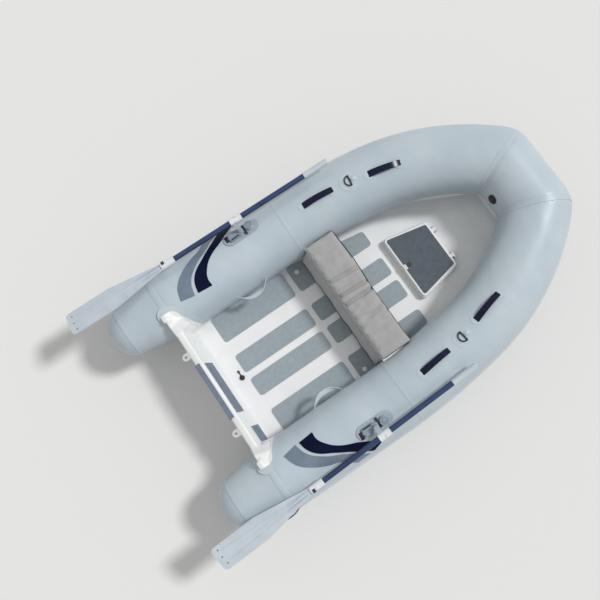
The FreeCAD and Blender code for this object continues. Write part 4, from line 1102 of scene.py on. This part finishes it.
def dRings():
    place = alongTube(dRing["path"], dRing["roll"])
    points = [(dRing["radius"] * math.cos(a), dRing["radius"] * math.sin(a), dRing["lift"])
              for a in [math.radians(90 + 180 * i / 10) for i in range(11)]]
    reach = dRing["radius"] + dRing["barOver"]
    bend = roundLine("ring_bend", points, dRing["wire"])
    bar = roundLine("ring_bar", [(0, side * reach, dRing["lift"]) for side in (-1, 0, 1)],
                    dRing["barRadius"])
    join(bend, bar)
    port, starboard = pair(bend, "d_ring_steel", "shadedDarkSteel", place, angle=60)
    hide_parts("d_ring_port")
    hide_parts("d_ring_starboard")
    web = place @ Matrix.Translation((dRing["webShift"], 0, dRing["webLift"]))
    archBand("ring_web", web, dRing["webSpan"], dRing["webRise"], dRing["webWidth"],
             dRing["webThickness"], look="seamTape")


dRings()

# Locker lid: black finger well beside the latch, its black partly painted shade
lidTrim = dict(wellRadius=0.0165, wellFloor=0.0012, wellGap=0.001, wellStep=(0.003, -0.0006))


def lidTrims():
    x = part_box("locker_latch")[1].x + lidTrim["wellRadius"] + lidTrim["wellGap"]
    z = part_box("locker_lid_pad")[0].z + lidTrim["wellFloor"] / 2
    well = roundBlock((x, 0, z), lidTrim["wellRadius"], lidTrim["wellFloor"], 40,
                      lidTrim["wellStep"])
    finish(well, "lid_finger_well_shade", "blackPlasticAndPaintedShade", "locker_lid")


lidTrims()
print("rings and lid ready")

# Camera: looks down from over the starboard side, as the photograph does
# its place, its turns in radians, and its focal length in pixels of the frame
view = dict(station=0.7457, side=-0.7886, height=5.5396, yaw=0.9648, pitch=0.1898, roll=-0.0428,
            focal=857.06, frame=600, sensor=36, reach=100)


def placeCamera():
    yaw, pitch, roll = view["yaw"], view["pitch"], view["roll"]
    right = Vector((math.sin(yaw), -math.cos(yaw), 0))
    up = Vector((math.cos(yaw), math.sin(yaw), 0))
    back = Vector((0, 0, 1))
    up, back = (up * math.cos(pitch) + back * math.sin(pitch),
                back * math.cos(pitch) - up * math.sin(pitch))
    right, back = (right * math.cos(roll) + back * math.sin(roll),
                   back * math.cos(roll) - right * math.sin(roll))
    camera = addObject("camera", bpy.data.cameras.new("camera"))
    camera.data.sensor_width = view["sensor"]
    camera.data.lens = view["sensor"] * view["focal"] / view["frame"]
    camera.data.clip_end = view["reach"]
    place = Matrix.Translation((ahead(view["station"]), view["side"], deckTop + view["height"]))
    camera.matrix_world = place @ Matrix((right, up, back)).transposed().to_4x4()
    bpy.context.scene.camera = camera


# Studio: pale floor, a broad key from ahead and above, even fill, white background
studio = dict(floor="#E2E2E0", floorSize=60, floorRoughness=0.9, fill=0.52, key=2.0, keySpread=10,
              keyFrom=(0.60, -0.14, 0.79))


def buildStudio():
    bpy.ops.mesh.primitive_plane_add(size=studio["floorSize"])
    floor = bpy.context.object
    floor.name = "floor"
    floor.data.materials.append(newMaterial("floorPaint", studio["floor"], studio["floorRoughness"],
                                            Specular_IOR_Level=0.1))
    world = bpy.data.worlds.new("studio")
    bpy.context.scene.world = world
    world.use_nodes = True
    tree = world.node_tree
    tree.nodes.clear()
    rays = addNode(tree, "ShaderNodeLightPath")
    sharp = addNode(tree, "ShaderNodeMath", {"operation": "MAXIMUM"},
                    i0=rays.outputs["Is Glossy Ray"], i1=rays.outputs["Is Transmission Ray"])
    seen = addNode(tree, "ShaderNodeMath", {"operation": "MAXIMUM"},
                   i0=rays.outputs["Is Camera Ray"], i1=sharp.outputs[0])
    light, white = [addNode(tree, "ShaderNodeBackground", {"Color": (1, 1, 1, 1), "Strength": level})
                    for level in (studio["fill"], 1.0)]
    mix = addNode(tree, "ShaderNodeMixShader", None, i0=seen.outputs[0], i1=light.outputs[0],
                  i2=white.outputs[0])
    addNode(tree, "ShaderNodeOutputWorld", None, Surface=mix.outputs[0])
    lamp = bpy.data.lights.new("keyLamp", "SUN")
    lamp.energy = studio["key"]
    lamp.angle = math.radians(studio["keySpread"])
    holder = addObject("keyLamp", lamp)
    holder.rotation_euler = Vector(studio["keyFrom"]).to_track_quat("Z", "Y").to_euler()


placeCamera()
buildStudio()
bpy.context.scene.view_settings.view_transform = "Standard"
print("camera and studio ready")
